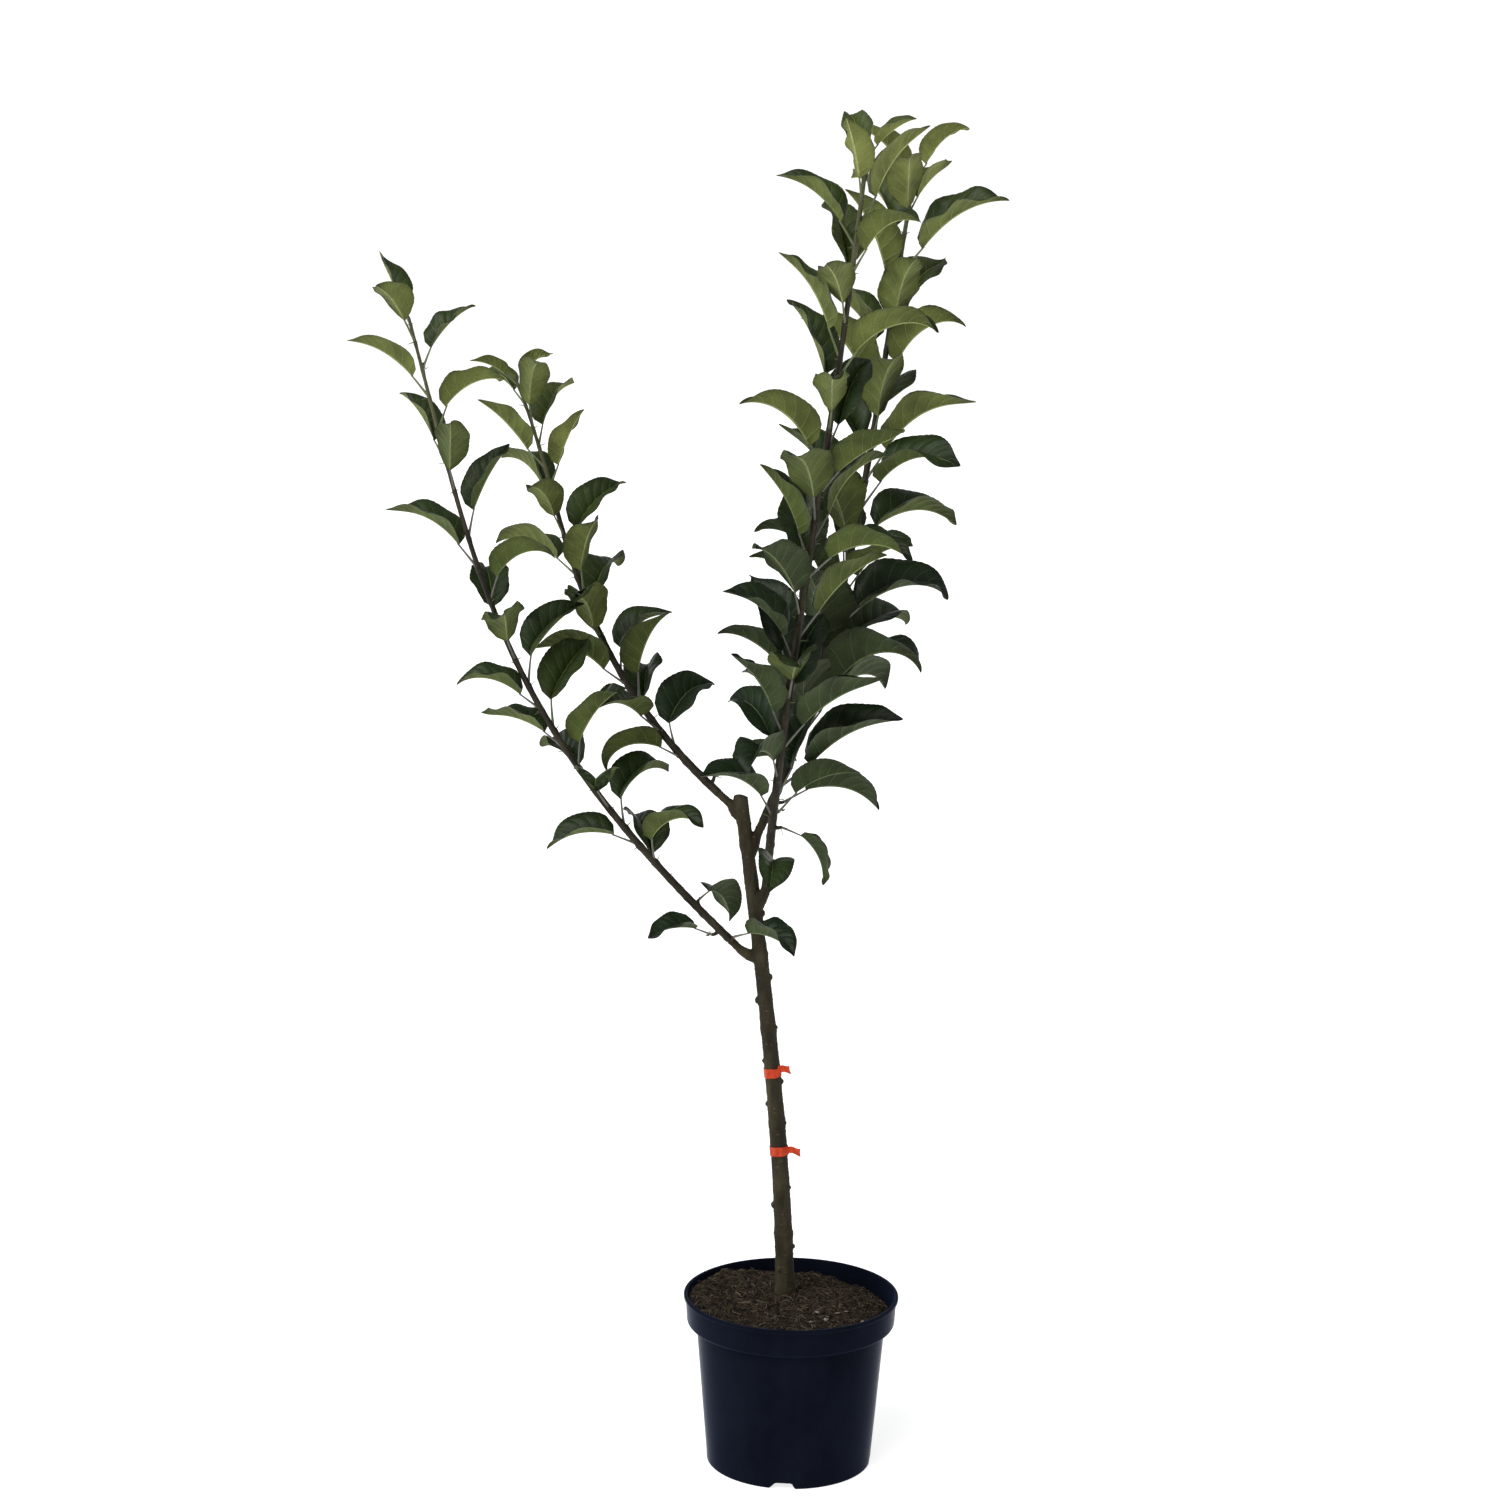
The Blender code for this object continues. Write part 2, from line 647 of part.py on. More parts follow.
def leaf_on(limb, distance, heading, size, blade_set, age, rng, turn=0.0):
    """A leaf at that place on a limb. Its stalk leaves at an angle, and lower, older leaves droop more."""
    root, tangent = limb.at(distance)
    heading = heading + turn
    outward = limb.across(distance, heading)
    angle = math.radians(37.0 + 8.0 * rng.uniform(-1, 1))
    stalk = (tangent * math.cos(angle) + outward * math.sin(angle) + UP * 0.20).normalized()
    stalk_rise = math.degrees(math.asin(max(-1.0, min(1.0, stalk.z))))
    return Leaf(
        root,
        limb.radius(distance),
        stalk,
        heading,
        size,
        width=BLADE_WIDTH[0] + (BLADE_WIDTH[1] - BLADE_WIDTH[0]) * age,
        rise=min(stalk_rise, 66.0) + blade_set + 10.0 * rng.uniform(-1, 1),
        bend=BLADE_BEND[0] + (BLADE_BEND[1] - BLADE_BEND[0]) * age + BLADE_BEND_SPREAD * rng.uniform(-1, 1),
        roll=24.0 * rng.uniform(-1, 1),
        fold=54.0 + 10.0 * rng.uniform(-1, 1),
    )


class Crowd:
    """What already fills the crown. A new leaf has to stay clear of it."""

    def __init__(self):
        self.members = []

    def add(self, points, faces, owner=None):
        low = Vector(map(min, *points))
        high = Vector(map(max, *points))
        self.members.append((low, high, BVHTree.FromPolygons(points, faces), owner))

    def touches(self, points, faces, skip=None):
        low = Vector(map(min, *points))
        high = Vector(map(max, *points))
        tree = BVHTree.FromPolygons(points, faces)
        for other_low, other_high, other, owner in self.members:
            if owner is not None and owner == skip:
                continue
            apart = any(low[i] > other_high[i] or high[i] < other_low[i] for i in range(3))
            if not apart and tree.overlap(other):
                return True
        return False


def ring_surface(limb, start, end, sides=8, step=0.02):
    """Points and faces of a limb's bark, for the tests."""
    count = max(2, round((end - start) / step) + 1)
    points, faces = [], []
    for i in range(count):
        distance = start + (end - start) * i / (count - 1)
        middle = limb.at(distance)[0]
        for k in range(sides):
            outward = limb.across(distance, 360.0 * k / sides)
            points.append(middle + outward * (limb.radius(distance) + CLEAR))
    for i in range(count - 1):
        for k in range(sides):
            a, b = i * sides + k, i * sides + (k + 1) % sides
            faces.append((a, b, b + sides, a + sides))
    return points, faces


def settle(limb, owner, distance, heading, size, blade_set, age, rng, crowd):
    """Tries the leaf at its own heading and then turned aside, and gives the first that touches nothing."""
    for attempt in range(TRIES):
        turn = 11.0 * ((attempt + 1) // 2) * (-1) ** attempt
        leaf = leaf_on(limb, distance, heading, size, blade_set, age, rng, turn)
        whole = leaf.surface(grow=CLEAR)
        if crowd.touches(*leaf.surface(blade_only=True, grow=CLEAR)) or crowd.touches(*whole, skip=owner):
            continue
        crowd.add(*whole)
        return leaf
    return None


def leaf_share(distance, length, tip):
    """Leaves are largest in the lower half of a shoot, a little smaller upwards, and smallest at its tip."""
    share = distance / length
    from_tip = (length - distance) / 0.11
    return min(1.06 - 0.12 * share, tip + (1.0 - tip) * from_tip)


def internode(spec, distance, length):
    """The step to the next leaf: longer higher up, and short again just under the tip."""
    if distance > length - 0.05:
        return 0.7 * spec["internode"]
    return spec["internode"] * (0.84 + 0.32 * distance / length)


def stretches(name, limb):
    """Where each mass of a shoot starts and ends on it."""
    bare, labels = LIMBS[name]["bare"], LIMBS[name]["masses"]
    run = (limb.length - bare) / len(labels)
    return [(label, bare + i * run, bare + (i + 1) * run) for i, label in enumerate(labels)]


def leaf_places(spec, limb, start, end, rng):
    """Where the leaves of one stretch sit: spaced up it, clear of its ends, and one at the shoot's tip."""
    tip = limb.length - 0.007
    last = tip - 0.008 if end > tip else end - 1.7 * limb.radius(end) - 0.003
    distance = start + 0.003 + 0.7 * spec["internode"] * rng.random()
    while distance <= last:
        yield distance
        distance += internode(spec, distance, limb.length) * (1.0 + 0.22 * rng.uniform(-1, 1))
    if end > tip:
        yield tip


def place_mass(name, limb, start, end, growth, crowd):
    """The leaves of one mass, in a spiral up its stretch of the shoot, as (distance, leaf)."""
    spec = LIMBS[name]
    heading, seed = growth
    rng = random.Random(seed)
    placed = []
    for distance in leaf_places(spec, limb, start, end, rng):
        age = 1.0 - distance / limb.length
        share = leaf_share(distance, limb.length, spec["tip_leaf"])
        size = spec["leaf"] * share * (1.0 + 0.14 * rng.uniform(-1, 1))
        aim = heading + 18.0 * rng.uniform(-1, 1)
        leaf = settle(limb, name, distance, aim, size, spec["set"], age, rng, crowd)
        if leaf is not None:
            placed.append((distance, leaf))
        heading += spec["spiral"] * SPIRAL
    return placed


def place_leaves(name, limb, crowd):
    """Every leaf of a shoot from its bare foot to its tip, mass by mass, as (distance, leaf)."""
    placed = []
    for (_, start, end), growth in zip(stretches(name, limb), LIMBS[name]["growth"]):
        placed += place_mass(name, limb, start, end, growth, crowd)
    return placed


def make_bough(name, limb, model):
    return limb_tube(f"bough_{name}", limb, GAP, LIMBS[name]["bare"], 0.03, model, "young_bark", 2)


def make_masses(name, limb, placed, model):
    """The leafy part of a shoot, cut into stretches: each is its wood and the leaves on it."""
    for label, start, end in stretches(name, limb):
        stem = limb_tube(f"foliage_{name}_{label}", limb, start + GAP, end, 0.045, model, "young_bark", 1)
        stem.data.materials[0] = material("leaf_green")
        leaves = [leaf.mesh_object(model) for distance, leaf in placed if start <= distance < end]
        join(stem, leaves)


def place_spur(name, limb, crowd):
    """The leaves of one short spur, and the spur's own stub."""
    _, distance, heading, count, blade = SPURS[name]
    rng = random.Random(SPUR_SEED + distance)
    outward = limb.across(distance, heading)
    tangent = limb.at(distance)[1]
    base = limb.at(distance)[0] + outward * (limb.radius(distance) + 2 * GAP)
    tip = base + (outward + tangent * 0.35).normalized() * SPUR_LENGTH
    third = outward * SPUR_LENGTH / 3
    stub = Limb((base, base + third, tip - third, tip), lambda share: SPUR_RADIUS)
    leaves = []
    for i in range(count):
        aim = heading + (0.0 if count == 1 else 70.0 * (i - (count - 1) / 2))
        size = blade * (1.0 + 0.05 * rng.uniform(-1, 1))
        leaf = settle(stub, None, SPUR_LENGTH * 0.8, aim, size, SPUR_SET, 1.0, rng, crowd)
        if leaf is not None:
            leaves.append(leaf)
    crowd.add(*ring_surface(stub, 0.0, stub.length))
    return stub, leaves


def make_spur(name, stub, leaves, model):
    stem = limb_tube(name, stub, 0.0, stub.length, SPUR_LENGTH / 2, model, "young_bark", 1)
    stem.data.materials[0] = material("leaf_green")
    return join(stem, [leaf.mesh_object(model) for leaf in leaves])


def main():
    for old in list(bpy.data.objects):
        bpy.data.objects.remove(old)
    model = bpy.data.collections.new("potted_apple_tree")
    cutters = bpy.data.collections.new("cutters")
    for collection in (model, cutters):
        bpy.context.scene.collection.children.link(collection)
    trunk = trunk_limb()
    limbs = {name: shoot_limb(spec) for name, spec in LIMBS.items()}
    make_pot(model, cutters)
    make_soil(model)
    make_trunk(trunk, limbs, model)
    for label in BAND_HEIGHTS:
        make_marker_band(label, trunk, model)
    crowd = Crowd()
    crowd.add(*ring_surface(trunk, 0.0, trunk.length), owner="trunk")
    for name, limb in limbs.items():
        crowd.add(*ring_surface(limb, 0.0, limb.length), owner=name)
    spurs = {name: place_spur(name, limbs[SPURS[name][0]], crowd) for name in SPURS}
    leaves = {name: place_leaves(name, limb, crowd) for name, limb in limbs.items()}
    for name, limb in limbs.items():
        make_bough(name, limb, model)
        make_masses(name, limb, leaves[name], model)
    for name, (stub, spur_leaves) in spurs.items():
        make_spur(name, stub, spur_leaves, model)


main()
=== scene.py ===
"""The looks of a young potted apple tree: leaves, bark, soil, pot and marker bands in soft studio light.

Metres, +Z up, -Y towards the camera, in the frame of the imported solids. The limbs and leaves grow by the same
seeded rule as the solids do, and each leaf, stalk and stretch of bark is then made fine.
"""

import random
from functools import cached_property
from math import asin, atan2, cos, degrees, exp, hypot, pi, radians, sin, sqrt

import bmesh
import bpy
import numpy as np
from mathutils import Matrix, Vector, noise
from mathutils.bvhtree import BVHTree


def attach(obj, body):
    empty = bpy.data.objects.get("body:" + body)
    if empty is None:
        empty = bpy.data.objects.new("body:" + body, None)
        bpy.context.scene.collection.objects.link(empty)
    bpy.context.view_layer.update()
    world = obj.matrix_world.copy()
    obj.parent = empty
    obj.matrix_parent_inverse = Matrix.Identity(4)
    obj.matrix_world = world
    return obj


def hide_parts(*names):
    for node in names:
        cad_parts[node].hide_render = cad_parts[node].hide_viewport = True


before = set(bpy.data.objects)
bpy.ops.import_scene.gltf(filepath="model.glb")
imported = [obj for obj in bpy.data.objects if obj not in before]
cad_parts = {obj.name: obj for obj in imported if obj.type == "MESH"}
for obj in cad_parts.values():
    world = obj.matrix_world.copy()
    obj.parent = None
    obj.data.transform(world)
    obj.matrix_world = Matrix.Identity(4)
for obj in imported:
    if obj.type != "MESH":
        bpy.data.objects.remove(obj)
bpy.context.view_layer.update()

GAP = 0.0003  # between two pieces that meet
UP = Vector((0.0, 0.0, 1.0))

# Pot
POT_HEIGHT = 0.225
LIP_RADIUS = 0.1404
LIP_HEIGHT = 0.005
BAND_TOP_RADIUS = 0.1377
BAND_FOOT_RADIUS = 0.1357
BAND_HEIGHT = 0.038
BODY_TOP_RADIUS = 0.1236
FOOT_RADIUS = 0.1079
POT_WALL = 0.002
FLOOR = 0.003
PAD_RADIUS = 0.076  # the middle of the floor stands on the ground
CHANNEL_LIFT = 0.0085  # the ring round it is raised, for drainage
NOTCH_WIDTH = 0.034
NOTCH_COUNT = 4
NOTCH_HEADING = 266.0
NOTCH_CUT = (-0.012, 0.012)  # how far its cutter reaches in and out from the foot
NOTCH_OUTLINE = (  # in shares of its width and height
    (-0.53, -0.5), (-0.53, 0.0), (-0.47, 0.12), (-0.38, 0.45), (-0.30, 0.82), (-0.22, 0.98), (0.0, 1.0),
    (0.30, 0.98), (0.38, 0.86), (0.43, 0.45), (0.50, 0.08), (0.53, 0.0), (0.53, -0.5),
)

# Soil
SOIL_EDGE_Z = 0.2125
SOIL_CROWN_Z = 0.2215
SOIL_REACH = BAND_TOP_RADIUS - POT_WALL - 0.0012
SOIL_RAISED = 0.0005  # above the solid
SOIL_RINGS = 70
SOIL_SECTORS = 240
SOIL_BRIM = 0.134  # the radius where it meets the wall
SOIL_TILT = (0.035, 0.012)  # down to the right and to the rear
HEAP_CURVE = 1.3
SOIL_LUMPS = ((0.0056, 38, 1.7), (0.0040, 110, 4.0), (0.0012, 320, 9.0))  # height, scale, layer of noise
CORE = 0.0004  # the radius of its innermost ring
LEAST_LUMPS, LUMPY_FROM, LUMPY_FADE = 0.35, 0.012, 0.02  # it is smoother by the trunk
SUNK_HEADING, SUNK_DEPTH, SUNK_RADIUS = 32.0, 0.013, 0.086  # the hollow by the wall, and where it begins
SUNK_CURVE = 1.4
FIBRES, CHIPS, CRUMBS, PALE_CHIPS, TUFTS = 3600, 420, 520, 9, 46
FIBRE_SEED, CRUMB_SEED, MOSS_SEED = 41, 43, 47
FIBRE_LENGTH = (0.003, 0.021, 0.007)  # least, most and commonest
FIBRE_RADIUS = (0.00017, 0.00085, 0.00028)
FIBRE_SHAPE = np.array((0.55, 1.0, 1.0, 0.95, 0.8, 0.35))
FIBRE_LIFT, FIBRE_TILT = (0.0001, 0.0022), (-0.10, 0.22)
PEAT = ((0.0066, 0.0052, 0.0040), (0.035, 0.0275, 0.0205))
MOSS_GREEN = ((0.018, 0.019, 0.008), (0.046, 0.047, 0.020), 2.0)
FIBRES_BY_KIND = {  # how common, and the two ends of its colour
    "fibre_straw": (2, (0.080, 0.063, 0.040), (0.180, 0.146, 0.098)),
    "fibre_tan": (7, (0.038, 0.0285, 0.0190), (0.092, 0.068, 0.047)),
    "fibre_red": (1.5, (0.026, 0.015, 0.011), (0.056, 0.034, 0.025)),
    "fibre_dark": (3, (0.006, 0.0045, 0.003), (0.022, 0.016, 0.0105)),
}
# Least, most and commonest size, how much of it stands proud, its flatness, and the chance of each colour
CHIP_TERMS = ((0.0012, 0.0060, 0.0022), 0.05, 0.28, (5, 3, 0, 4))
CRUMB_TERMS = ((0.0010, 0.0042, 0.0016), 0.3, 0.8, (3, 1, 0, 8))
PALE_X, PALE_Y, PALE_SIZE = (0.005, 0.095), (-0.105, -0.030), (0.0022, 0.0044)
PALE_LIFT, PALE_FLATNESS, PALE_SLOT = 0.0016, 0.22, 2
MOSS_HEADINGS = (120, 235, 175)
MOSS_REACH, MOSS_SIZE, MOSS_FLATNESS = (0.070, SOIL_REACH - 0.010), (0.0016, 0.0044), 0.45
CRUMB_COLOURS = {
    "chip_brown": ((0.014, 0.0085, 0.005), (0.040, 0.025, 0.015)),
    "chip_red": ((0.024, 0.013, 0.010), (0.050, 0.030, 0.023)),
    "chip_pale": ((0.170, 0.150, 0.125), (0.300, 0.275, 0.240)),
    "crumb_peat": ((0.006, 0.0046, 0.0036), (0.028, 0.0215, 0.0160)),
}

# Trunk
TRUNK_FOOT = Vector((-0.0080, 0.013, SOIL_CROWN_Z + GAP))
TRUNK_TOP = Vector((-0.0755, 0.016, 0.883))
TRUNK_FOOT_LEAN = Vector((-0.028, 0.0, 1.0))
TRUNK_TOP_LEAN = Vector((-0.143, 0.01, 1.0))
TRUNK_FOOT_RADIUS = 0.0117
TRUNK_TOP_RADIUS = 0.0087
FLARE = 0.0026  # more radius at the soil
FLARE_HEIGHT = 0.022
TOP_CUT_SLOPE = 15.0  # the pruning cut falls to the right
KNOBS = (  # healed buds: distance up the trunk, heading and radius
    (0.0330, 236.0, 0.0032), (0.0622, 352.0, 0.0038), (0.0930, 98.0, 0.0036), (0.1199, 188.0, 0.0047),
    (0.1432, 335.0, 0.0036), (0.1620, 72.0, 0.0038), (0.2298, 350.0, 0.0031), (0.2565, 186.0, 0.0036),
    (0.2850, 352.0, 0.0042), (0.3142, 184.0, 0.0031), (0.3350, 110.0, 0.0036), (0.3575, 352.0, 0.0034),
    (0.3952, 182.0, 0.0050), (0.4241, 357.0, 0.0042), (0.4680, 62.0, 0.0038), (0.5085, 3.0, 0.0046),
)

# Marker bands: how high each sits, and its tail's heading, rise and lift above the middle of the loop
MARKER_BANDS = {"upper": (0.520, -38.0, 16.0, 0.0035), "lower": (0.415, -24.0, 3.0, 0.0)}
BAND_WIDTH = 0.0125
TAIL_LENGTH = 0.019
LOOP_STEPS = 96
FULL_TURN = 6.283  # radians
TAIL_STEPS = 22
FILM_COLUMNS = 9
KNOT_REACH = 0.0062
FILM_THICKNESS = 0.0003
FILM_GAP = 0.0011  # from the solid trunk to the film
PUCKER, KNOT_BULGE, KNOT_PINCH = 0.00035, 0.0009, 0.22  # of the loop
CREASE, TAIL_BOW, TAIL_CURL = 0.0002, 0.0014, 0.0016
PUCKERS, CREASE_SCALE, CREASE_TWIST = 7, 2600, 3
BULGE_REACH, PINCH_REACH = 0.30, 0.35  # radians from the knot
KNOT_RADII = (0.0006, 0.0016, 0.0021, 0.0023, 0.0022, 0.0023, 0.0020, 0.0014, 0.0006)

# Leaves
SPIRAL = 144.0  # from one leaf to the next, two turns in five leaves
BLADE_WIDTH = (0.56, 0.70)  # of its length, at the tip and at the foot of a shoot
BLADE_BEND = (44.0, 80.0)  # how far it arches, at the tip and at the foot of a shoot
BLADE_BEND_SPREAD = 34.0
BLADE_THICKNESS = 0.018
PETIOLE = 0.33
PETIOLE_RADIUS = 0.0011
STALK_ANGLE, STALK_ANGLE_SPREAD = 37.0, 8.0  # from the wood
STALK_LIFT = 0.20
MOST_RISE, RISE_SPREAD = 66.0, 10.0
ROLL_SPREAD = 24.0
FOLD, FOLD_SPREAD = 54.0, 10.0
FOLD_LOSS = 0.35  # how much the fold opens towards the tip
BLADE_STATIONS = (0.07, 0.32, 0.60, 0.83)
LARGEST, UPWARD_LOSS = 1.06, 0.12  # of a full blade, at the foot of a shoot, and its loss up to the tip
TAPER_LENGTH = 0.11  # over which the leaves shorten to the tip
STEP_FOOT, STEP_GAIN = 0.84, 0.32  # of a full internode, at the foot of a shoot, and what it gains upwards
SHORT_END, SHORT_STEP = 0.05, 0.7  # the stretch under the tip where steps are short, and how short
TIP_GAP, LAST_GAP, END_GAP = 0.007, 0.008, 0.003  # at the tip, before its leaf, and at a stretch's ends
SIZE_SPREAD, STEP_SPREAD, AIM_SPREAD = 0.14, 0.22, 18.0  # how much leaves and steps differ by chance
CLEAR = 0.0008  # kept free round a leaf when its place is tested
TRIES = 10
TURN_STEP = 11.0  # a leaf that touches something is turned aside by this, one way and then the other
SPUR_SEED = 11

# Each limb: where it leaves its collar; its heading, rise and reach there; its tip, and how it arrives; its
# radius at both ends; how far its collar drops; the length of its bare foot; the length of a full blade, and
# the share of it that the leaves at the tip have; how far its blades are tilted up; the step between leaves;
# the way its spiral turns; and for each mass, from the foot, the heading of the first leaf and the seed
LIMB_TERMS = (
    "foot", "leaving", "tip", "arriving", "radii", "collar_drop", "bare", "leaf", "tip_leaf", "set",
    "internode", "spiral", "growth",
)
MASSES = ("lower", "middle", "upper", "top")
LIMB_TABLE = {
    "left_low": (
        (-0.0745, 0.013, 0.683), (189.0, 44.2, 0.424), (-0.481, -0.100, 1.481), (196.0, 75.5, 0.353),
        (0.0052, 0.0017), 0.013, 0.120, 0.097, 0.85, -6.0, 0.0348, -1,
        ((110.0, 4106), (185.0, 691), (50.0, 2325)),
    ),
    "left_high": (
        (-0.090, 0.016, 0.873), (164.6, 38.2, 0.285), (-0.377, 0.160, 1.400), (157.2, 65.3, 0.195),
        (0.0053, 0.0016), 0.018, 0.075, 0.094, 0.62, 4.0, 0.0268, -1,
        ((175.0, 1113), (240.0, 181), (130.0, 3854)),
    ),
    "right_front": (
        (-0.041, 0.005, 0.765), (282.5, 71.1, 0.343), (0.065, -0.254, 1.678), (296.8, 78.4, 0.327),
        (0.0056, 0.0024), 0.030, 0.095, 0.107, 0.55, 2.0, 0.026, -1,
        ((195.0, 6946), (180.0, 927), (350.0, 9020), (240.0, 4060)),
    ),
    "right_rear": (
        (-0.053, 0.018, 0.832), (32.8, 60.3, 0.312), (0.136, 0.217, 1.667), (44.4, 76.8, 0.281),
        (0.0058, 0.0024), 0.026, 0.060, 0.127, 0.55, 2.0, 0.0242, 1,
        ((335.0, 2681), (30.0, 1110), (0.0, 98), (50.0, 2573)),
    ),
}
LIMBS = {name: dict(zip(LIMB_TERMS, terms)) for name, terms in LIMB_TABLE.items()}

# Short spurs with one or two leaves, on the bare wood: the limb that carries each, how far up it sits,
# its heading, how many leaves it has, and their length
SPURS = {
    "spur_left_low_a": ("left_low", 0.016, 318.0, 1, 0.086),
    "spur_left_low_b": ("left_low", 0.036, 208.0, 1, 0.070),
    "spur_left_low_c": ("left_low", 0.078, 62.0, 1, 0.080),
    "spur_left_high": ("left_high", 0.034, 352.0, 1, 0.088),
    "spur_right_front": ("right_front", 0.044, 302.0, 2, 0.084),
    "spur_right_rear": ("right_rear", 0.034, 350.0, 1, 0.096),
    "spur_right_front_upper": ("right_front", 0.090, 340.0, 1, 0.076),
    "spur_right_rear_upper": ("right_rear", 0.048, 5.0, 2, 0.108),
}
SPUR_RADIUS = 0.0022
SPUR_LENGTH = 0.009
SPUR_SET = -14.0
SPUR_LEAN = 0.35  # along the bough
SPUR_FAN = 70.0  # between the leaves of one spur
SPUR_SIZE_SPREAD = 0.05
SPUR_LEAVES = SPUR_LENGTH * 0.8  # where on a spur they sit
SPUR_SWELLINGS = (1.5, 1.35, 1.1, 1.15, 1.0, 1.05, 0.8, 0.3)

# Camera, as solved from the rim and the foot of the pot in the photograph
CAMERA_PLACE = Vector((0.0, -3.645, 1.539))
CAMERA_TURNS = (1.04, 9.23, 0.79)  # to the left, down, and round its own line of sight
CAMERA_LENS = {"lens": 70.0, "sensor_width": 36.0}

# Studio
ROOM = (0.27, 0.274, 0.278)
BACKDROP = (1.0, 1.0, 1.0)
BACKDROP_STRENGTH = 1.12
BACKDROP_TOP = 0.16  # the sine of its rise above the horizon
BACKDROP_FADE = 0.14
TABLE_WHITE = (0.60, 0.60, 0.60, 1.0)
TABLE_GLOW = 0.78  # the white table is lit from below, so shadows on it stay faint
TABLE_SIZE, TABLE_DROP = 60.0, 0.0004
LIGHT_SPREAD = 48.0
LIGHTS = (  # name, colour, strength, and the heading and rise that it comes from
    ("key", (1.0, 0.985, 0.95), 2.5, 228.0, 50.0),  # from the front left
    ("fill", (0.62, 0.80, 1.0), 0.5, 186.0, 14.0),  # cool, from the left, low
)

# Blade detail, as shares of the blade's length unless told otherwise
VEIN_PAIRS = 7
FIRST_VEIN, VEIN_RUN = 0.05, 0.89  # the veins leave this stretch of the midrib
VEIN_HALF_WIDTH = 0.0034
VEIN_SWEEP = 0.92
VEIN_CURVE = 1.25
VEIN_END = 0.9  # of the half width
COLUMNS = (0.0, 0.042, 0.14, 0.28, 0.43, 0.58, 0.73, 0.87, 1.0)  # of the half width
BLADE_HALF_SKIN = 0.0002  # metres
VEIN_RIDGE = 0.0004  # metres
VEIN_PALENESS = 0.34  # from the blade's colour to the midrib's
MIDRIB_RIDGE = 0.0009  # metres
QUILTING = 0.0115
MARGIN_WAVE = (0.014, 0.046)
MARGIN_WAVES = (1.6, 2.8)  # along the blade
PHASES = (0, 6.28)  # radians
TOOTH, TOOTH_BACK = 0.013, -0.4
TOOTHED = (0.08, 0.97)  # this stretch of the margin
TWIST = 11.0  # degrees
SWAY = 0.03
MIDRIB_STEPS = 60
UV_WIDTH = 0.3
HALF_CURVE = (1.24, 0.42, 1.6)  # each half is folded up more at the midrib than at the margin
TIP_START = 0.66  # where on the midrib the tip begins to curl aside and flick up
TIP_CURL = 75.0
TIP_HOOK = 38.0

# Stalks, stipules and buds
STALK_FOOT_RADIUS = 0.0019
STALK_NECK_RADIUS = 0.00112
STALK_STEPS = 8
STIPULE_LENGTH = (0.006, 0.011)
MISSING_STIPULES = 0.30
STIPULE_RADIUS = 0.0005
BUD_LENGTH = 0.0045
BUD_RADIUS = 0.0013

# Bark
BARK_VOXEL = 0.0011
TRUNK_STEPS = 149
TRUNK_RELIEF = 0.00045
TRUNK_RINGS = (0.080, 0.2285, 0.355, 0.455, 0.600)  # distances up the trunk
RING_HEIGHT, RING_WIDTH = 0.0010, 0.0035
BARK_SWELLING = 0.0004
UNEVENNESS = 0.0007
KNOB_STAND = 0.85  # of its radius
KNOB_SHAPE = ((0.0, 1.5), (0.35, 1.35), (0.7, 1.0), (0.9, 0.72), (1.0, 0.40))  # radius by share of height
COLLAR_SHAPE = (1.5, 1.45, 1.16, 1.04)  # of the bough's radius
SUNK_FOOT = 0.004  # the bark goes on this far under the soil
SHOOT_RELIEF = 0.00018
SHOOT_SIDES = 20
SHOOT_STEP = 0.0028
NODE_SWELLING, NODE_REACH, NODE_DROP = 0.0011, 0.0042, 0.0015
OLD_BUDS = 8  # on the bare foot of each bough
GREEN_TIP = 0.14  # the length of a shoot's green end
OVERLAP = 0.0004
TRUNK_BRANCH_REACH = 0.024  # of each bough, blended with the trunk
CUT_REACH = 0.016  # round the trunk's top, where the pruning cut trims the bark

# Bark finishes: dark, middle and light tone, roughness, strength of the lenticels, and scale
TRUNK_BARK = "bark_trunk", (0.0056, 0.0046, 0.0023), (0.0245, 0.02, 0.01), (0.056, 0.0475, 0.026), 0.74, 0.6, 0.8
SHOOT_BARKS = (
    ("bark_bough", (0.0075, 0.0062, 0.0038), (0.020, 0.0165, 0.0100), (0.044, 0.038, 0.0230), 0.52, 0.75),
    ("bark_shoot", (0.0125, 0.0100, 0.0068), (0.030, 0.0245, 0.0160), (0.062, 0.053, 0.0350), 0.50, 0.6),
    ("bark_tip", (0.050, 0.044, 0.024), (0.084, 0.082, 0.042), (0.130, 0.130, 0.070), 0.55, 0.3),
)
GREEN_STALK, GREY_STALK, STIPULE_SLOT, BUD_SLOT = range(4)
STALK_COLOURS = {
    "stalk_green": (0.120, 0.150, 0.065),
    "stalk_grey": (0.105, 0.105, 0.085),
    "stipule": (0.085, 0.110, 0.045),
    "bud_brown": (0.060, 0.036, 0.026),
}

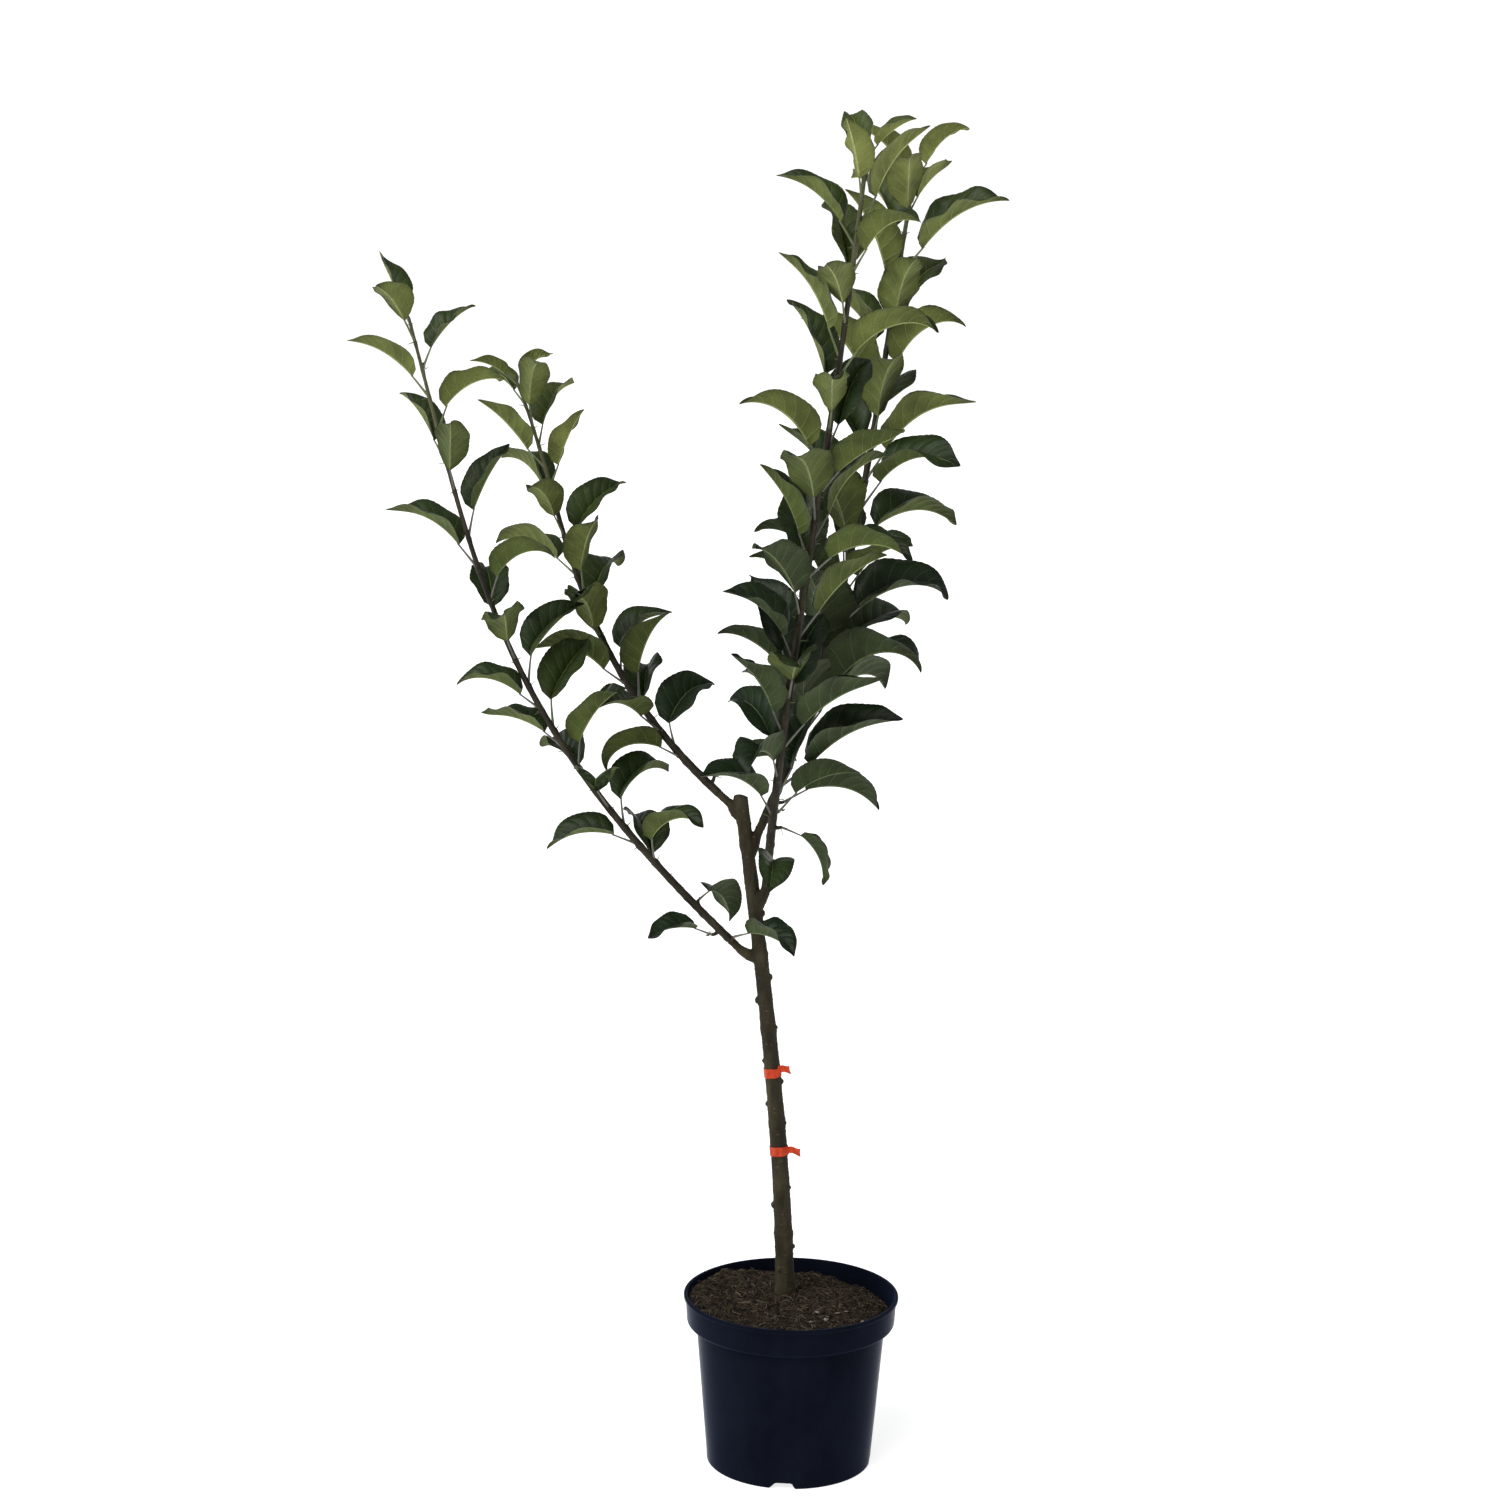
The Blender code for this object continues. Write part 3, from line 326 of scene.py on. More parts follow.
SIDES = ("above", "below")
TONE_LIMITS = (0.26, 0.60, 0.96)
# Painted light and shade in the leaves: besides chance and the shoot's age, the tone lightens with height and to
# the left, and darkens again at the far left.
TONE_SPREAD, PAINTED_SHADING_PER_METRE, EVEN_HEIGHT = 0.16, 0.35, 1.25  # by chance, and by height from this one
LEFT_FROM, LEFT_PAINTED_LIGHT = -0.05, 0.27  # paler from here to the left
FAR_LEFT, FAR_LEFT_PAINTED_SHADE = -0.30, 3.4  # but darker again, per metre, from here
SLOTS_PER_TONE, RIB_SLOTS, VEIN_SLOTS = 6, 2, 4  # each pair is for above and below
# The shade, middle and light tones are darker and paler copies of one leaf colour, painted shade and painted
# light where tone_of deals them by height and side; the young tone is the pale colour of young leaves.
LEAF_COLOURS = {  # upper side, underside, midrib above, midrib below
    "shade": ((0.012, 0.0225, 0.0088), (0.032, 0.046, 0.0165), (0.056, 0.086, 0.026), (0.098, 0.126, 0.044)),
    "middle": ((0.019, 0.033, 0.0088), (0.063, 0.083, 0.019), (0.092, 0.126, 0.030), (0.175, 0.208, 0.066)),
    "light": ((0.0285, 0.045, 0.0105), (0.106, 0.126, 0.032), (0.140, 0.176, 0.042), (0.270, 0.300, 0.100)),
    "young": ((0.048, 0.068, 0.015), (0.170, 0.192, 0.052), (0.185, 0.215, 0.056), (0.350, 0.375, 0.130)),
}
TONES = tuple(LEAF_COLOURS)


def direction(heading, rise):
    """Unit vector at a heading and a rise above level, both in degrees."""
    h, r = radians(heading), radians(rise)
    return Vector((cos(h) * cos(r), sin(h) * cos(r), sin(r)))


def bezier(p0, p1, p2, p3, t):
    s = 1.0 - t
    return s**3 * p0 + 3 * s * s * t * p1 + 3 * s * t * t * p2 + t**3 * p3


class Limb:
    """A tapering round limb along a cubic curve. Places on it are given by their distance from its foot."""

    SAMPLES = 160

    def __init__(self, controls, radius_at):
        self.points = [bezier(*controls, i / self.SAMPLES) for i in range(self.SAMPLES + 1)]
        self.distances = [0.0]
        for a, b in zip(self.points, self.points[1:]):
            self.distances.append(self.distances[-1] + (b - a).length)
        self.length = self.distances[-1]
        self.radius_at = radius_at

    def at(self, distance):
        """The point and the unit tangent at that distance."""
        distance = min(max(distance, 0.0), self.length)
        i = 0
        while i < self.SAMPLES - 1 and self.distances[i + 1] < distance:
            i += 1
        a, b = self.points[i], self.points[i + 1]
        share = (distance - self.distances[i]) / (b - a).length
        return a.lerp(b, share), (b - a).normalized()

    def radius(self, distance):
        return self.radius_at(min(max(distance / self.length, 0.0), 1.0))

    def across(self, distance, heading):
        """Unit vector square to the limb, on the side that faces the heading."""
        return square_to(direction(heading, 0.0), self.at(distance)[1])


def square_to(vector, tangent):
    """The unit vector square to the tangent that is nearest to the vector."""
    return (vector - tangent * vector.dot(tangent)).normalized()


def trunk_limb():
    height = (TRUNK_TOP - TRUNK_FOOT).length
    near_foot = TRUNK_FOOT + TRUNK_FOOT_LEAN.normalized() * (height / 3)
    near_top = TRUNK_TOP - TRUNK_TOP_LEAN.normalized() * (height / 3)

    def radius_at(share):
        taper = TRUNK_FOOT_RADIUS + (TRUNK_TOP_RADIUS - TRUNK_FOOT_RADIUS) * min(share * 1.25, 1.0)
        return taper + FLARE * exp(-share * height / FLARE_HEIGHT)

    return Limb((TRUNK_FOOT, near_foot, near_top, TRUNK_TOP), radius_at)


def shoot_limb(spec):
    foot, tip = Vector(spec["foot"]), Vector(spec["tip"])
    *leaving, reach = spec["leaving"]
    *arriving, run_in = spec["arriving"]
    thick, thin = spec["radii"]
    controls = (foot, foot + direction(*leaving) * reach, tip - direction(*arriving) * run_in, tip)
    return Limb(controls, lambda share: thin + (thick - thin) * (1.0 - share) ** 0.8)


def body_radius(z):
    """Outer radius of the pot's tapered wall."""
    return FOOT_RADIUS + (BODY_TOP_RADIUS - FOOT_RADIUS) * z / (POT_HEIGHT - BAND_HEIGHT)


def blade_half_width(u):
    """Half the blade's width at a share of its length, as a share of the widest."""
    return sin(pi * u**0.75) ** 0.62 * (1.0 - 0.22 * u**3)


class Leaf:
    """One leaf: a thin stalk from the wood's axis, then an arching blade folded up along its midrib."""

    def __init__(self, root, wood_radius, stalk, heading, size, width, rise, bend, roll, fold):
        self.root = root
        self.size = size
        self.half_width = size * width / 2
        self.stalk = stalk
        self.neck = root + stalk * (wood_radius + PETIOLE * size)
        self.level = direction(heading, 0.0)
        self.side = self.level.cross(UP)
        self.rise = radians(rise)
        self.bend = radians(bend)
        self.roll = radians(roll)
        self.fold = radians(fold)

    def pitch(self, u):
        return self.rise - self.bend * (0.5 * u + 0.5 * u * u)

    def frame(self, u):
        """Along, across and upper-side directions of the blade at a share of its length."""
        pitch = self.pitch(u)
        along = self.level * cos(pitch) + UP * sin(pitch)
        upper = UP * cos(pitch) - self.level * sin(pitch)
        c, s = cos(self.roll), sin(self.roll)
        return along, self.side * c + upper * s, upper * c - self.side * s

    def midrib(self, u, steps=12):
        place = self.neck.copy()
        for i in range(steps):
            place += self.frame(u * (i + 0.5) / steps)[0] * (self.size * u / steps)
        return place

    def surface(self, blade_only=False, grow=0.0):
        """Points and faces of the closed leaf, or of its blade with a margin, for a test."""
        across = self.stalk.cross(self.level.cross(self.stalk)).cross(self.stalk).normalized()
        upper = across.cross(self.stalk).normalized()
        if upper.z < 0.0:
            across, upper = -across, -upper
        radius = PETIOLE_RADIUS + grow
        corners = (-across * radius, upper * radius, across * radius, -upper * radius)
        rings = [[centre + corner for corner in corners] for centre in (self.root, self.neck)]
        for u in BLADE_STATIONS:
            _, across, upper = self.frame(u)
            middle = self.midrib(u)
            half = self.half_width * blade_half_width(u) + grow
            fold = self.fold * (1.0 - FOLD_LOSS * u)
            out, lift = across * half * cos(fold), upper * half * sin(fold)
            ridge = upper * (BLADE_THICKNESS * self.size / 2 + grow)
            rings.append([middle - out + lift, middle + ridge, middle + out + lift, middle - ridge])
        rings = rings[1:] if blade_only else rings
        points = [p for ring in rings for p in ring] + [self.midrib(1.0)]
        last = len(points) - 5
        faces = [(3, 2, 1, 0)]
        for i in range(0, last, 4):
            for k in range(4):
                a, b = i + k, i + (k + 1) % 4
                # Both skins split from the midrib forward to the margin: split unlike, they would cross
                if k % 2:
                    faces += [(a, b, b + 4), (a, b + 4, a + 4)]
                else:
                    faces += [(a, b, a + 4), (b, b + 4, a + 4)]
        return points, faces + [(last + k, last + (k + 1) % 4, last + 4) for k in range(4)]


def vary(rng, middle, spread):
    """The middle value, more or less by up to the spread."""
    return middle + spread * rng.uniform(-1, 1)


def leaf_on(limb, distance, heading, size, blade_set, age, rng):
    """A leaf at that place on a limb. Its stalk leaves at an angle, and lower, older leaves droop more."""
    root, tangent = limb.at(distance)
    outward = limb.across(distance, heading)
    angle = radians(vary(rng, STALK_ANGLE, STALK_ANGLE_SPREAD))
    stalk = (tangent * cos(angle) + outward * sin(angle) + UP * STALK_LIFT).normalized()
    stalk_rise = degrees(asin(max(-1.0, min(1.0, stalk.z))))
    return Leaf(
        root, limb.radius(distance), stalk, heading, size,
        width=BLADE_WIDTH[0] + (BLADE_WIDTH[1] - BLADE_WIDTH[0]) * age,
        rise=vary(rng, min(stalk_rise, MOST_RISE) + blade_set, RISE_SPREAD),
        bend=vary(rng, BLADE_BEND[0] + (BLADE_BEND[1] - BLADE_BEND[0]) * age, BLADE_BEND_SPREAD),
        roll=vary(rng, 0.0, ROLL_SPREAD),
        fold=vary(rng, FOLD, FOLD_SPREAD),
    )


class Crowd:
    """What already fills the crown. A new leaf has to stay clear of it."""

    def __init__(self):
        self.members = []

    def add(self, points, faces, owner=None):
        self.members.append((BVHTree.FromPolygons(points, faces), owner))

    def touches(self, points, faces, skip=None):
        tree = BVHTree.FromPolygons(points, faces)
        others = [other for other, owner in self.members if owner is None or owner != skip]
        return any(tree.overlap(other) for other in others)


def ring_surface(limb, start, end, sides=8, step=0.02):
    """Points and faces of a limb's bark, for the tests."""
    count = max(2, round((end - start) / step) + 1)
    points = []
    for i in range(count):
        distance = start + (end - start) * i / (count - 1)
        middle, reach = limb.at(distance)[0], limb.radius(distance) + CLEAR
        points += [middle + limb.across(distance, 360.0 * k / sides) * reach for k in range(sides)]
    return points, grid_faces(count, sides, closed=True).tolist()


def settle(limb, owner, distance, heading, size, blade_set, age, rng, crowd):
    """Tries the leaf at its own heading and then turned aside, and gives the first that touches nothing."""
    for attempt in range(TRIES):
        turn = TURN_STEP * ((attempt + 1) // 2) * (-1) ** attempt
        leaf = leaf_on(limb, distance, heading + turn, size, blade_set, age, rng)
        whole = leaf.surface(grow=CLEAR)
        if crowd.touches(*leaf.surface(blade_only=True, grow=CLEAR)) or crowd.touches(*whole, skip=owner):
            continue
        crowd.add(*whole)
        return leaf
    return None


def leaf_share(distance, length, tip):
    """Leaves are largest in the lower half of a shoot, a little smaller upwards, and smallest at its tip."""
    from_tip = (length - distance) / TAPER_LENGTH
    return min(LARGEST - UPWARD_LOSS * (distance / length), tip + (1.0 - tip) * from_tip)


def internode(spec, distance, length):
    """The step to the next leaf: longer higher up, and short again just under the tip."""
    if distance > length - SHORT_END:
        return SHORT_STEP * spec["internode"]
    return spec["internode"] * (STEP_FOOT + STEP_GAIN * distance / length)


def stretches(name, limb):
    """Where each mass of a shoot starts and ends on it."""
    bare, count = LIMBS[name]["bare"], len(LIMBS[name]["growth"])
    run = (limb.length - bare) / count
    return [(label, bare + i * run, bare + (i + 1) * run) for i, label in enumerate(MASSES[:count])]


def leaf_places(spec, limb, start, end, rng):
    """Where the leaves of one stretch sit: spaced up it, clear of its ends, and one at the shoot's tip."""
    tip = limb.length - TIP_GAP
    last = tip - LAST_GAP if end > tip else end - 1.7 * limb.radius(end) - END_GAP
    distance = start + END_GAP + SHORT_STEP * spec["internode"] * rng.random()
    while distance <= last:
        yield distance
        distance += internode(spec, distance, limb.length) * vary(rng, 1.0, STEP_SPREAD)
    if end > tip:
        yield tip


def place_leaves(name, limb, crowd):
    """Every leaf of a shoot, mass by mass, in a spiral from its bare foot to its tip, as (distance, leaf)."""
    spec = LIMBS[name]
    placed = []
    for (_, start, end), (heading, seed) in zip(stretches(name, limb), spec["growth"]):
        rng = random.Random(seed)
        for distance in leaf_places(spec, limb, start, end, rng):
            age = 1.0 - distance / limb.length
            share = leaf_share(distance, limb.length, spec["tip_leaf"])
            size = spec["leaf"] * share * vary(rng, 1.0, SIZE_SPREAD)
            aim = vary(rng, heading, AIM_SPREAD)
            leaf = settle(limb, name, distance, aim, size, spec["set"], age, rng, crowd)
            if leaf is not None:
                placed.append((distance, leaf))
            heading += spec["spiral"] * SPIRAL
    return placed


def place_spur(name, limb, crowd):
    """The leaves of one short spur, and the spur's own stub."""
    _, distance, heading, count, blade = SPURS[name]
    rng = random.Random(SPUR_SEED + distance)
    outward = limb.across(distance, heading)
    middle, tangent = limb.at(distance)
    base = middle + outward * (limb.radius(distance) + 2 * GAP)
    tip = base + (outward + tangent * SPUR_LEAN).normalized() * SPUR_LENGTH
    third = outward * SPUR_LENGTH / 3
    stub = Limb((base, base + third, tip - third, tip), lambda share: SPUR_RADIUS)
    leaves = []
    for i in range(count):
        aim = heading + SPUR_FAN * (i - (count - 1) / 2)
        size = blade * vary(rng, 1.0, SPUR_SIZE_SPREAD)
        leaf = settle(stub, None, SPUR_LEAVES, aim, size, SPUR_SET, 1.0, rng, crowd)
        if leaf is not None:
            leaves.append(leaf)
    crowd.add(*ring_surface(stub, 0.0, stub.length))
    return stub, leaves


def with_settings(made, **settings):
    for key, value in settings.items():
        setattr(made, key, value)
    return made


def new_object(name, data):
    made = bpy.data.objects.new(name, data)
    bpy.context.scene.collection.objects.link(made)
    return made


def coat(mesh, materials):
    """Gives the mesh these materials alone. Every face starts in the first slot."""
    mesh.materials.clear()
    for material in materials:
        mesh.materials.append(material)


def modify(made, kind, **settings):
    with_settings(made.modifiers.new(kind.lower(), kind), **settings)


class Surface:
    """Gathers many small surfaces, each with its own material slots, into one mesh."""

    def __init__(self):
        self.points, self.faces, self.slots, self.uvs = [], [], [], []
        self.count = 0

    def add(self, points, faces, slots, uvs=None):
        """Points in rows of three, faces in rows of four, slots face by face, UV pairs point by point."""
        self.points.append(np.asarray(points, float))
        self.faces.append(np.asarray(faces, int) + self.count)
        self.slots.append(np.broadcast_to(np.asarray(slots, int), (len(faces),)))
        self.uvs.append(np.zeros((len(points), 2)) if uvs is None else uvs)
        self.count += len(points)

    def tube(self, centres, radii, sides, slot):
        self.add(tube_points(centres, radii, sides), grid_faces(len(centres), sides, closed=True), slot)

    def piece(self, name, materials, slot, nodes):
        points, faces = np.concatenate(self.points), np.concatenate(self.faces)
        mesh = bpy.data.meshes.new(name)
        mesh.from_pydata(points, [], faces)
        coat(mesh, materials)
        mesh.polygons.foreach_set("material_index", np.concatenate(self.slots))
        mesh.polygons.foreach_set("use_smooth", np.ones(len(faces), bool))
        places = mesh.uv_layers.new(name="UVMap")
        places.data.foreach_set("uv", np.concatenate(self.uvs)[faces.ravel()].ravel())
        mesh.validate()
        mesh.update()
        return dressed(new_object(name, mesh), nodes)


def dressed(made, nodes):
    """Rides the piece on the one body, and hides the imported solid parts that it stands in for."""
    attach(made, "root")
    if nodes:
        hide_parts(*nodes)
    return made


def grid_faces(rows, columns, closed=False, flip=False):
    """Quads between neighbouring points of a grid of points, row by row."""
    across = columns if closed else columns - 1
    i, k = np.meshgrid(np.arange(rows - 1), np.arange(across), indexing="ij")
    a = i * columns + k
    b = i * columns + (k + 1) % columns
    faces = np.stack([a, b, b + columns, a + columns], -1).reshape(-1, 4)
    return faces[:, ::-1] if flip else faces


def tube_points(centres, radii, sides):
    """Rings of points round a path, each ring square to it, with no twist from one ring to the next."""
    centres, radii = np.asarray(centres, float), np.asarray(radii, float)
    along = np.gradient(centres, axis=0)
    along /= np.linalg.norm(along, axis=1, keepdims=True)
    side = np.cross(along[0], (0.0, 0.0, 1.0) if abs(along[0][2]) < 0.9 else (1.0, 0.0, 0.0))
    angles = np.arange(sides) * 2 * pi / sides
    rings = []
    for centre, tangent, radius in zip(centres, along, radii):
        side = side - tangent * (side @ tangent)
        side /= np.linalg.norm(side)
        other = np.cross(tangent, side)
        rings.append(centre + (np.outer(np.cos(angles), side) + np.outer(np.sin(angles), other)) * radius)
    return np.concatenate(rings)


# Materials


def node(owner, kind, output, inputs=None, **settings):
    """An output of a new node of a material or world, with the node's inputs linked or set."""
    made = with_settings(owner.node_tree.nodes.new("ShaderNode" + kind), **settings)
    for key, value in (inputs or {}).items():
        if isinstance(value, bpy.types.NodeSocket):
            owner.node_tree.links.new(value, made.inputs[key])
        else:
            made.inputs[key].default_value = value
    return made.outputs[output]


def ramp(owner, value, *stops):
    """A colour ramp over a value, from stops of a place and a colour or grey level."""
    colour = node(owner, "ValToRGB", "Color", {"Fac": value})
    band = colour.node.color_ramp
    while len(band.elements) < len(stops):
        band.elements.new(0.5)
    for element, (place, tone) in zip(band.elements, stops):
        tone = (tone,) * 3 if isinstance(tone, float) else tone
        with_settings(element, position=place, color=(*tone, 1.0))
    return colour


class Look:
    """A material in the making: the inputs of its shader, and the nodes that feed them."""

    def __init__(self, name, roughness, values=None):
        self.material = bpy.data.materials.new(name)
        self.material.use_nodes = True
        self.inputs = self.material.node_tree.nodes["Principled BSDF"].inputs
        for key, value in {"Roughness": roughness, **(values or {})}.items():
            self.inputs[key].default_value = value

    @cached_property
    def where(self):
        return node(self.material, "TexCoord", "Object")

    def stretched(self, scale):
        return node(self.material, "Mapping", "Vector", {"Vector": self.where, "Scale": scale})

    def noise(self, scale, detail=3.0, roughness=0.55, stretch=None):
        vector = self.stretched(stretch) if stretch else self.where
        inputs = {"Vector": vector, "Scale": scale, "Detail": detail, "Roughness": roughness}
        return node(self.material, "TexNoise", "Fac", inputs)

    def spots(self, vector, scale, feature="F1"):
        inputs = {"Vector": vector, "Scale": scale}
        return node(self.material, "TexVoronoi", "Distance", inputs, feature=feature)

    def ramp(self, value, *stops):
        return ramp(self.material, value, *stops)

    def mix(self, factor, first, second, blend="MIX"):
        second = second if isinstance(second, bpy.types.NodeSocket) else (*second, 1.0)
        inputs = {0: factor, 6: first, 7: second}
        return node(self.material, "Mix", 2, inputs, data_type="RGBA", blend_type=blend)

    def times(self, first, second):
        return self.mix(1.0, first, second, "MULTIPLY")

    def finished(self, colour, height, distance, strength, roughness=None):
        """The material, with its colour, its relief and perhaps its roughness fed by nodes."""
        relief = {"Height": height, "Distance": distance, "Strength": strength}
        feeds = {"Base Color": colour, "Normal": node(self.material, "Bump", "Normal", relief)}
        if roughness:
            feeds["Roughness"] = roughness
        for key, value in feeds.items():
            self.material.node_tree.links.new(value, self.inputs[key])
        return self.material


def scaled(colour, factor):
    return tuple(min(1.0, c * factor) for c in colour)


def blade_material(name, colour, upper):
    """The leaf's skin: fine veinlets, soft blotches, painted shade towards the tip and along the rim, satin
    above and downy below.
    """
    if upper:
        look = Look(name, 0.42, {"Specular IOR Level": 0.16, "Coat Weight": 0.02, "Coat Roughness": 0.35})
        paleness, gloss, depth = 1.75, (0.34, 0.52), 0.0004
    else:
        down = {"Sheen Weight": 0.08, "Sheen Roughness": 0.6, "Sheen Tint": (0.80, 0.90, 0.62, 1.0)}
        look = Look(name, 0.66, {"Specular IOR Level": 0.10, **down})
        paleness, gloss, depth = 1.35, (0.60, 0.76), 0.0006
    place = node(look.material, "UVMap", "UV")
    net, coarse_net = (look.spots(place, scale, "DISTANCE_TO_EDGE") for scale in (62.0, 23.0))
    blotch = look.noise(30.0, detail=1.5)
    tint = look.ramp(blotch, (0.30, scaled(colour, 0.50)), (0.50, colour), (0.70, scaled(colour, 1.55)))
    grain = look.ramp(look.noise(420.0, detail=5.0, roughness=0.7), (0.36, 0.80), (0.64, 1.20))
    lines = look.ramp(coarse_net, (0.0, scaled(colour, paleness)), (0.07, colour))
    skin = look.mix(0.38, look.times(tint, grain), lines)
    along, across = (node(look.material, "SeparateXYZ", axis, {"Vector": place}) for axis in "XY")
    # Painted shade: the colour darkens over the last third of the blade, most at the tip.
    skin = look.times(skin, look.ramp(along, (0.0, 1.0), (0.66, 0.95), (0.84, 0.72), (0.97, 0.40)))
    # Painted shade: the colour darkens towards the margin of each half.
    aside = node(look.material, "Math", 0, {0: across}, operation="ABSOLUTE")
    skin = look.times(skin, look.ramp(aside, (0.0, 1.0), (0.20, 0.92), (0.30, 0.66)))
    roughness = look.ramp(look.noise(160.0), (0.3, gloss[0]), (0.7, gloss[1]))
    return look.finished(skin, look.mix(0.4, net, coarse_net), depth, 0.55, roughness)


def vein_material(name, colour):
    look = Look(name, 0.55)
    tint = look.ramp(look.noise(90.0), (0.3, scaled(colour, 0.8)), (0.7, scaled(colour, 1.2)))
    return look.finished(tint, look.noise(900.0), 0.0002, 0.5)


def wood_material(name, dark, base, light, roughness, lenticels, scale=1.0):
    """Smooth young bark: cloudy colour, fine cracks along the limb, and pale lenticels lying across it."""
    look = Look(name, roughness, {"Specular IOR Level": 0.15})
    cloud = look.noise(70.0 * scale, detail=6.0, stretch=(1.0, 1.0, 0.35))
    tint = look.ramp(cloud, (0.25, dark), (0.50, base), (0.78, light))
    dots = look.spots(look.stretched((0.55, 0.55, 1.5)), 190.0 * scale)
    marks = look.ramp(dots, (0.0, 1.0), (0.16, 1.0), (0.24, 0.0))
    chance = look.times(marks, look.ramp(look.noise(55.0), (0.46, 0.0), (0.56, lenticels)))
    tint = look.mix(chance, tint, scaled(light, 1.3))
    grain = look.noise(520.0 * scale, detail=5.0, stretch=(1.0, 1.0, 0.22))
    matt = look.ramp(cloud, (0.3, roughness - 0.08), (0.7, roughness + 0.10))
    return look.finished(tint, look.mix(0.5, grain, chance), 0.0007, 0.6, matt)


def plastic_material():
    """Black injection-moulded plastic with a slight orange peel, thin scuffs and a film of dust."""
    sheen = {"Sheen Weight": 0.08, "Sheen Roughness": 0.40, "Sheen Tint": (0.20, 0.38, 0.95, 1.0)}
    gloss = {"Specular IOR Level": 0.006, "Specular Tint": (0.42, 0.56, 1.0, 1.0)}
    look = Look("pot_black_plastic", 0.24, {**gloss, **sheen})
    dust = look.noise(16.0, detail=6.0, roughness=0.65, stretch=(1.0, 1.0, 0.6))
    black = look.ramp(dust, (0.35, (0.0032, 0.004, 0.0074)), (0.85, (0.0062, 0.0078, 0.014)))
    scuffs = look.ramp(look.noise(260.0, stretch=(1.0, 1.0, 0.08)), (0.4, 0.17), (0.7, 0.30))
    roughness = look.mix(0.5, look.ramp(dust, (0.3, 0.16), (0.8, 0.34)), scuffs)
    return look.finished(black, look.noise(900.0, detail=2.0), 0.0002, 0.35, roughness)


def film_material():
    look = Look("marker_film", 0.42, {"Specular IOR Level": 0.15})
    creases = look.noise(240.0, detail=4.0, stretch=(1.0, 1.0, 0.4))
    orange = look.ramp(creases, (0.3, (0.32, 0.022, 0.006)), (0.7, (0.52, 0.052, 0.013)))
    return look.finished(orange, creases, 0.0008, 0.5)


def soil_material(name, dark, light, scale=1.0):
    look = Look(name, 0.92, {"Specular IOR Level": 0.15})
    grain = look.noise(240.0 * scale, detail=8.0, roughness=0.7)
    return look.finished(look.ramp(grain, (0.30, dark), (0.72, light)), grain, 0.0018, 0.9)


# Leaves


def blade_rows():
    """Each row of points across a blade: its place, its offset in vein widths, and the side of its vein."""
    count = 2 * VEIN_PAIRS
    centres = [FIRST_VEIN + VEIN_RUN * (j + 0.5) / count for j in range(count)] + [1.0]
    rows = [(0.0, 0, 0), (0.02, 0, 0)]
    for j, (centre, after) in enumerate(zip(centres, centres[1:])):
        rows += [(centre, offset, -1 if j % 2 == 0 else 1) for offset in (-1, 0, 1)]
        rows += [(centre + (after - centre) * share, 0, 0) for share in (0.36, 0.68)]
    return rows + [(1.0, 0, 0)]


ROW_PLACE, ROW_OFFSET, ROW_SIDE = (np.array(values)[:, None] for values in zip(*blade_rows()))
T = np.array([-t for t in COLUMNS[:0:-1]] + list(COLUMNS))


def fine_half_width(u):
    """Half a blade's width, as the solid's but drawn out to a fine tip."""
    tail = np.clip((u - 0.80) / 0.20, 0.0, 1.0)
    broad = np.sin(pi * np.clip(u, 0.0, 1.0) ** 0.75).clip(0.0, 1.0) ** 0.62 * (1.0 - 0.22 * u**3)
    return broad * (1.0 - 0.42 * tail * tail * (3 - 2 * tail)) + 0.004


def blade_frames(leaf, u, twist, sway, curl, hook):
    """Midrib points and the along, across and upper directions, for an array of places on the midrib."""
    level, side, up = np.array(leaf.level), np.array(leaf.side), np.array(UP)

    def directions(at):
        late = np.clip((at - TIP_START) / (1.0 - TIP_START), 0.0, 1.0) ** 2
        pitch = leaf.pitch(at) + hook * late
        c, s = np.cos(pitch)[..., None], np.sin(pitch)[..., None]
        along, upper = level * c + up * s, up * c - level * s
        roll = (leaf.roll + twist * at * at + curl * late)[..., None]
        return along, side * np.cos(roll) + upper * np.sin(roll), upper * np.cos(roll) - side * np.sin(roll)

    steps = np.linspace(0.0, 1.0, MIDRIB_STEPS + 1)
    along, across, _ = directions(steps)
    path = np.zeros((MIDRIB_STEPS + 1, 3))
    path[1:] = np.cumsum((along[1:] + along[:-1]) / 2 * leaf.size / MIDRIB_STEPS, axis=0)
    path += across * (sway * leaf.size * np.sin(pi * steps) * steps)[:, None]
    path += np.array(leaf.neck)
    middle = np.stack([np.interp(u, steps, path[:, i]) for i in range(3)], -1)
    return (middle, *directions(u))


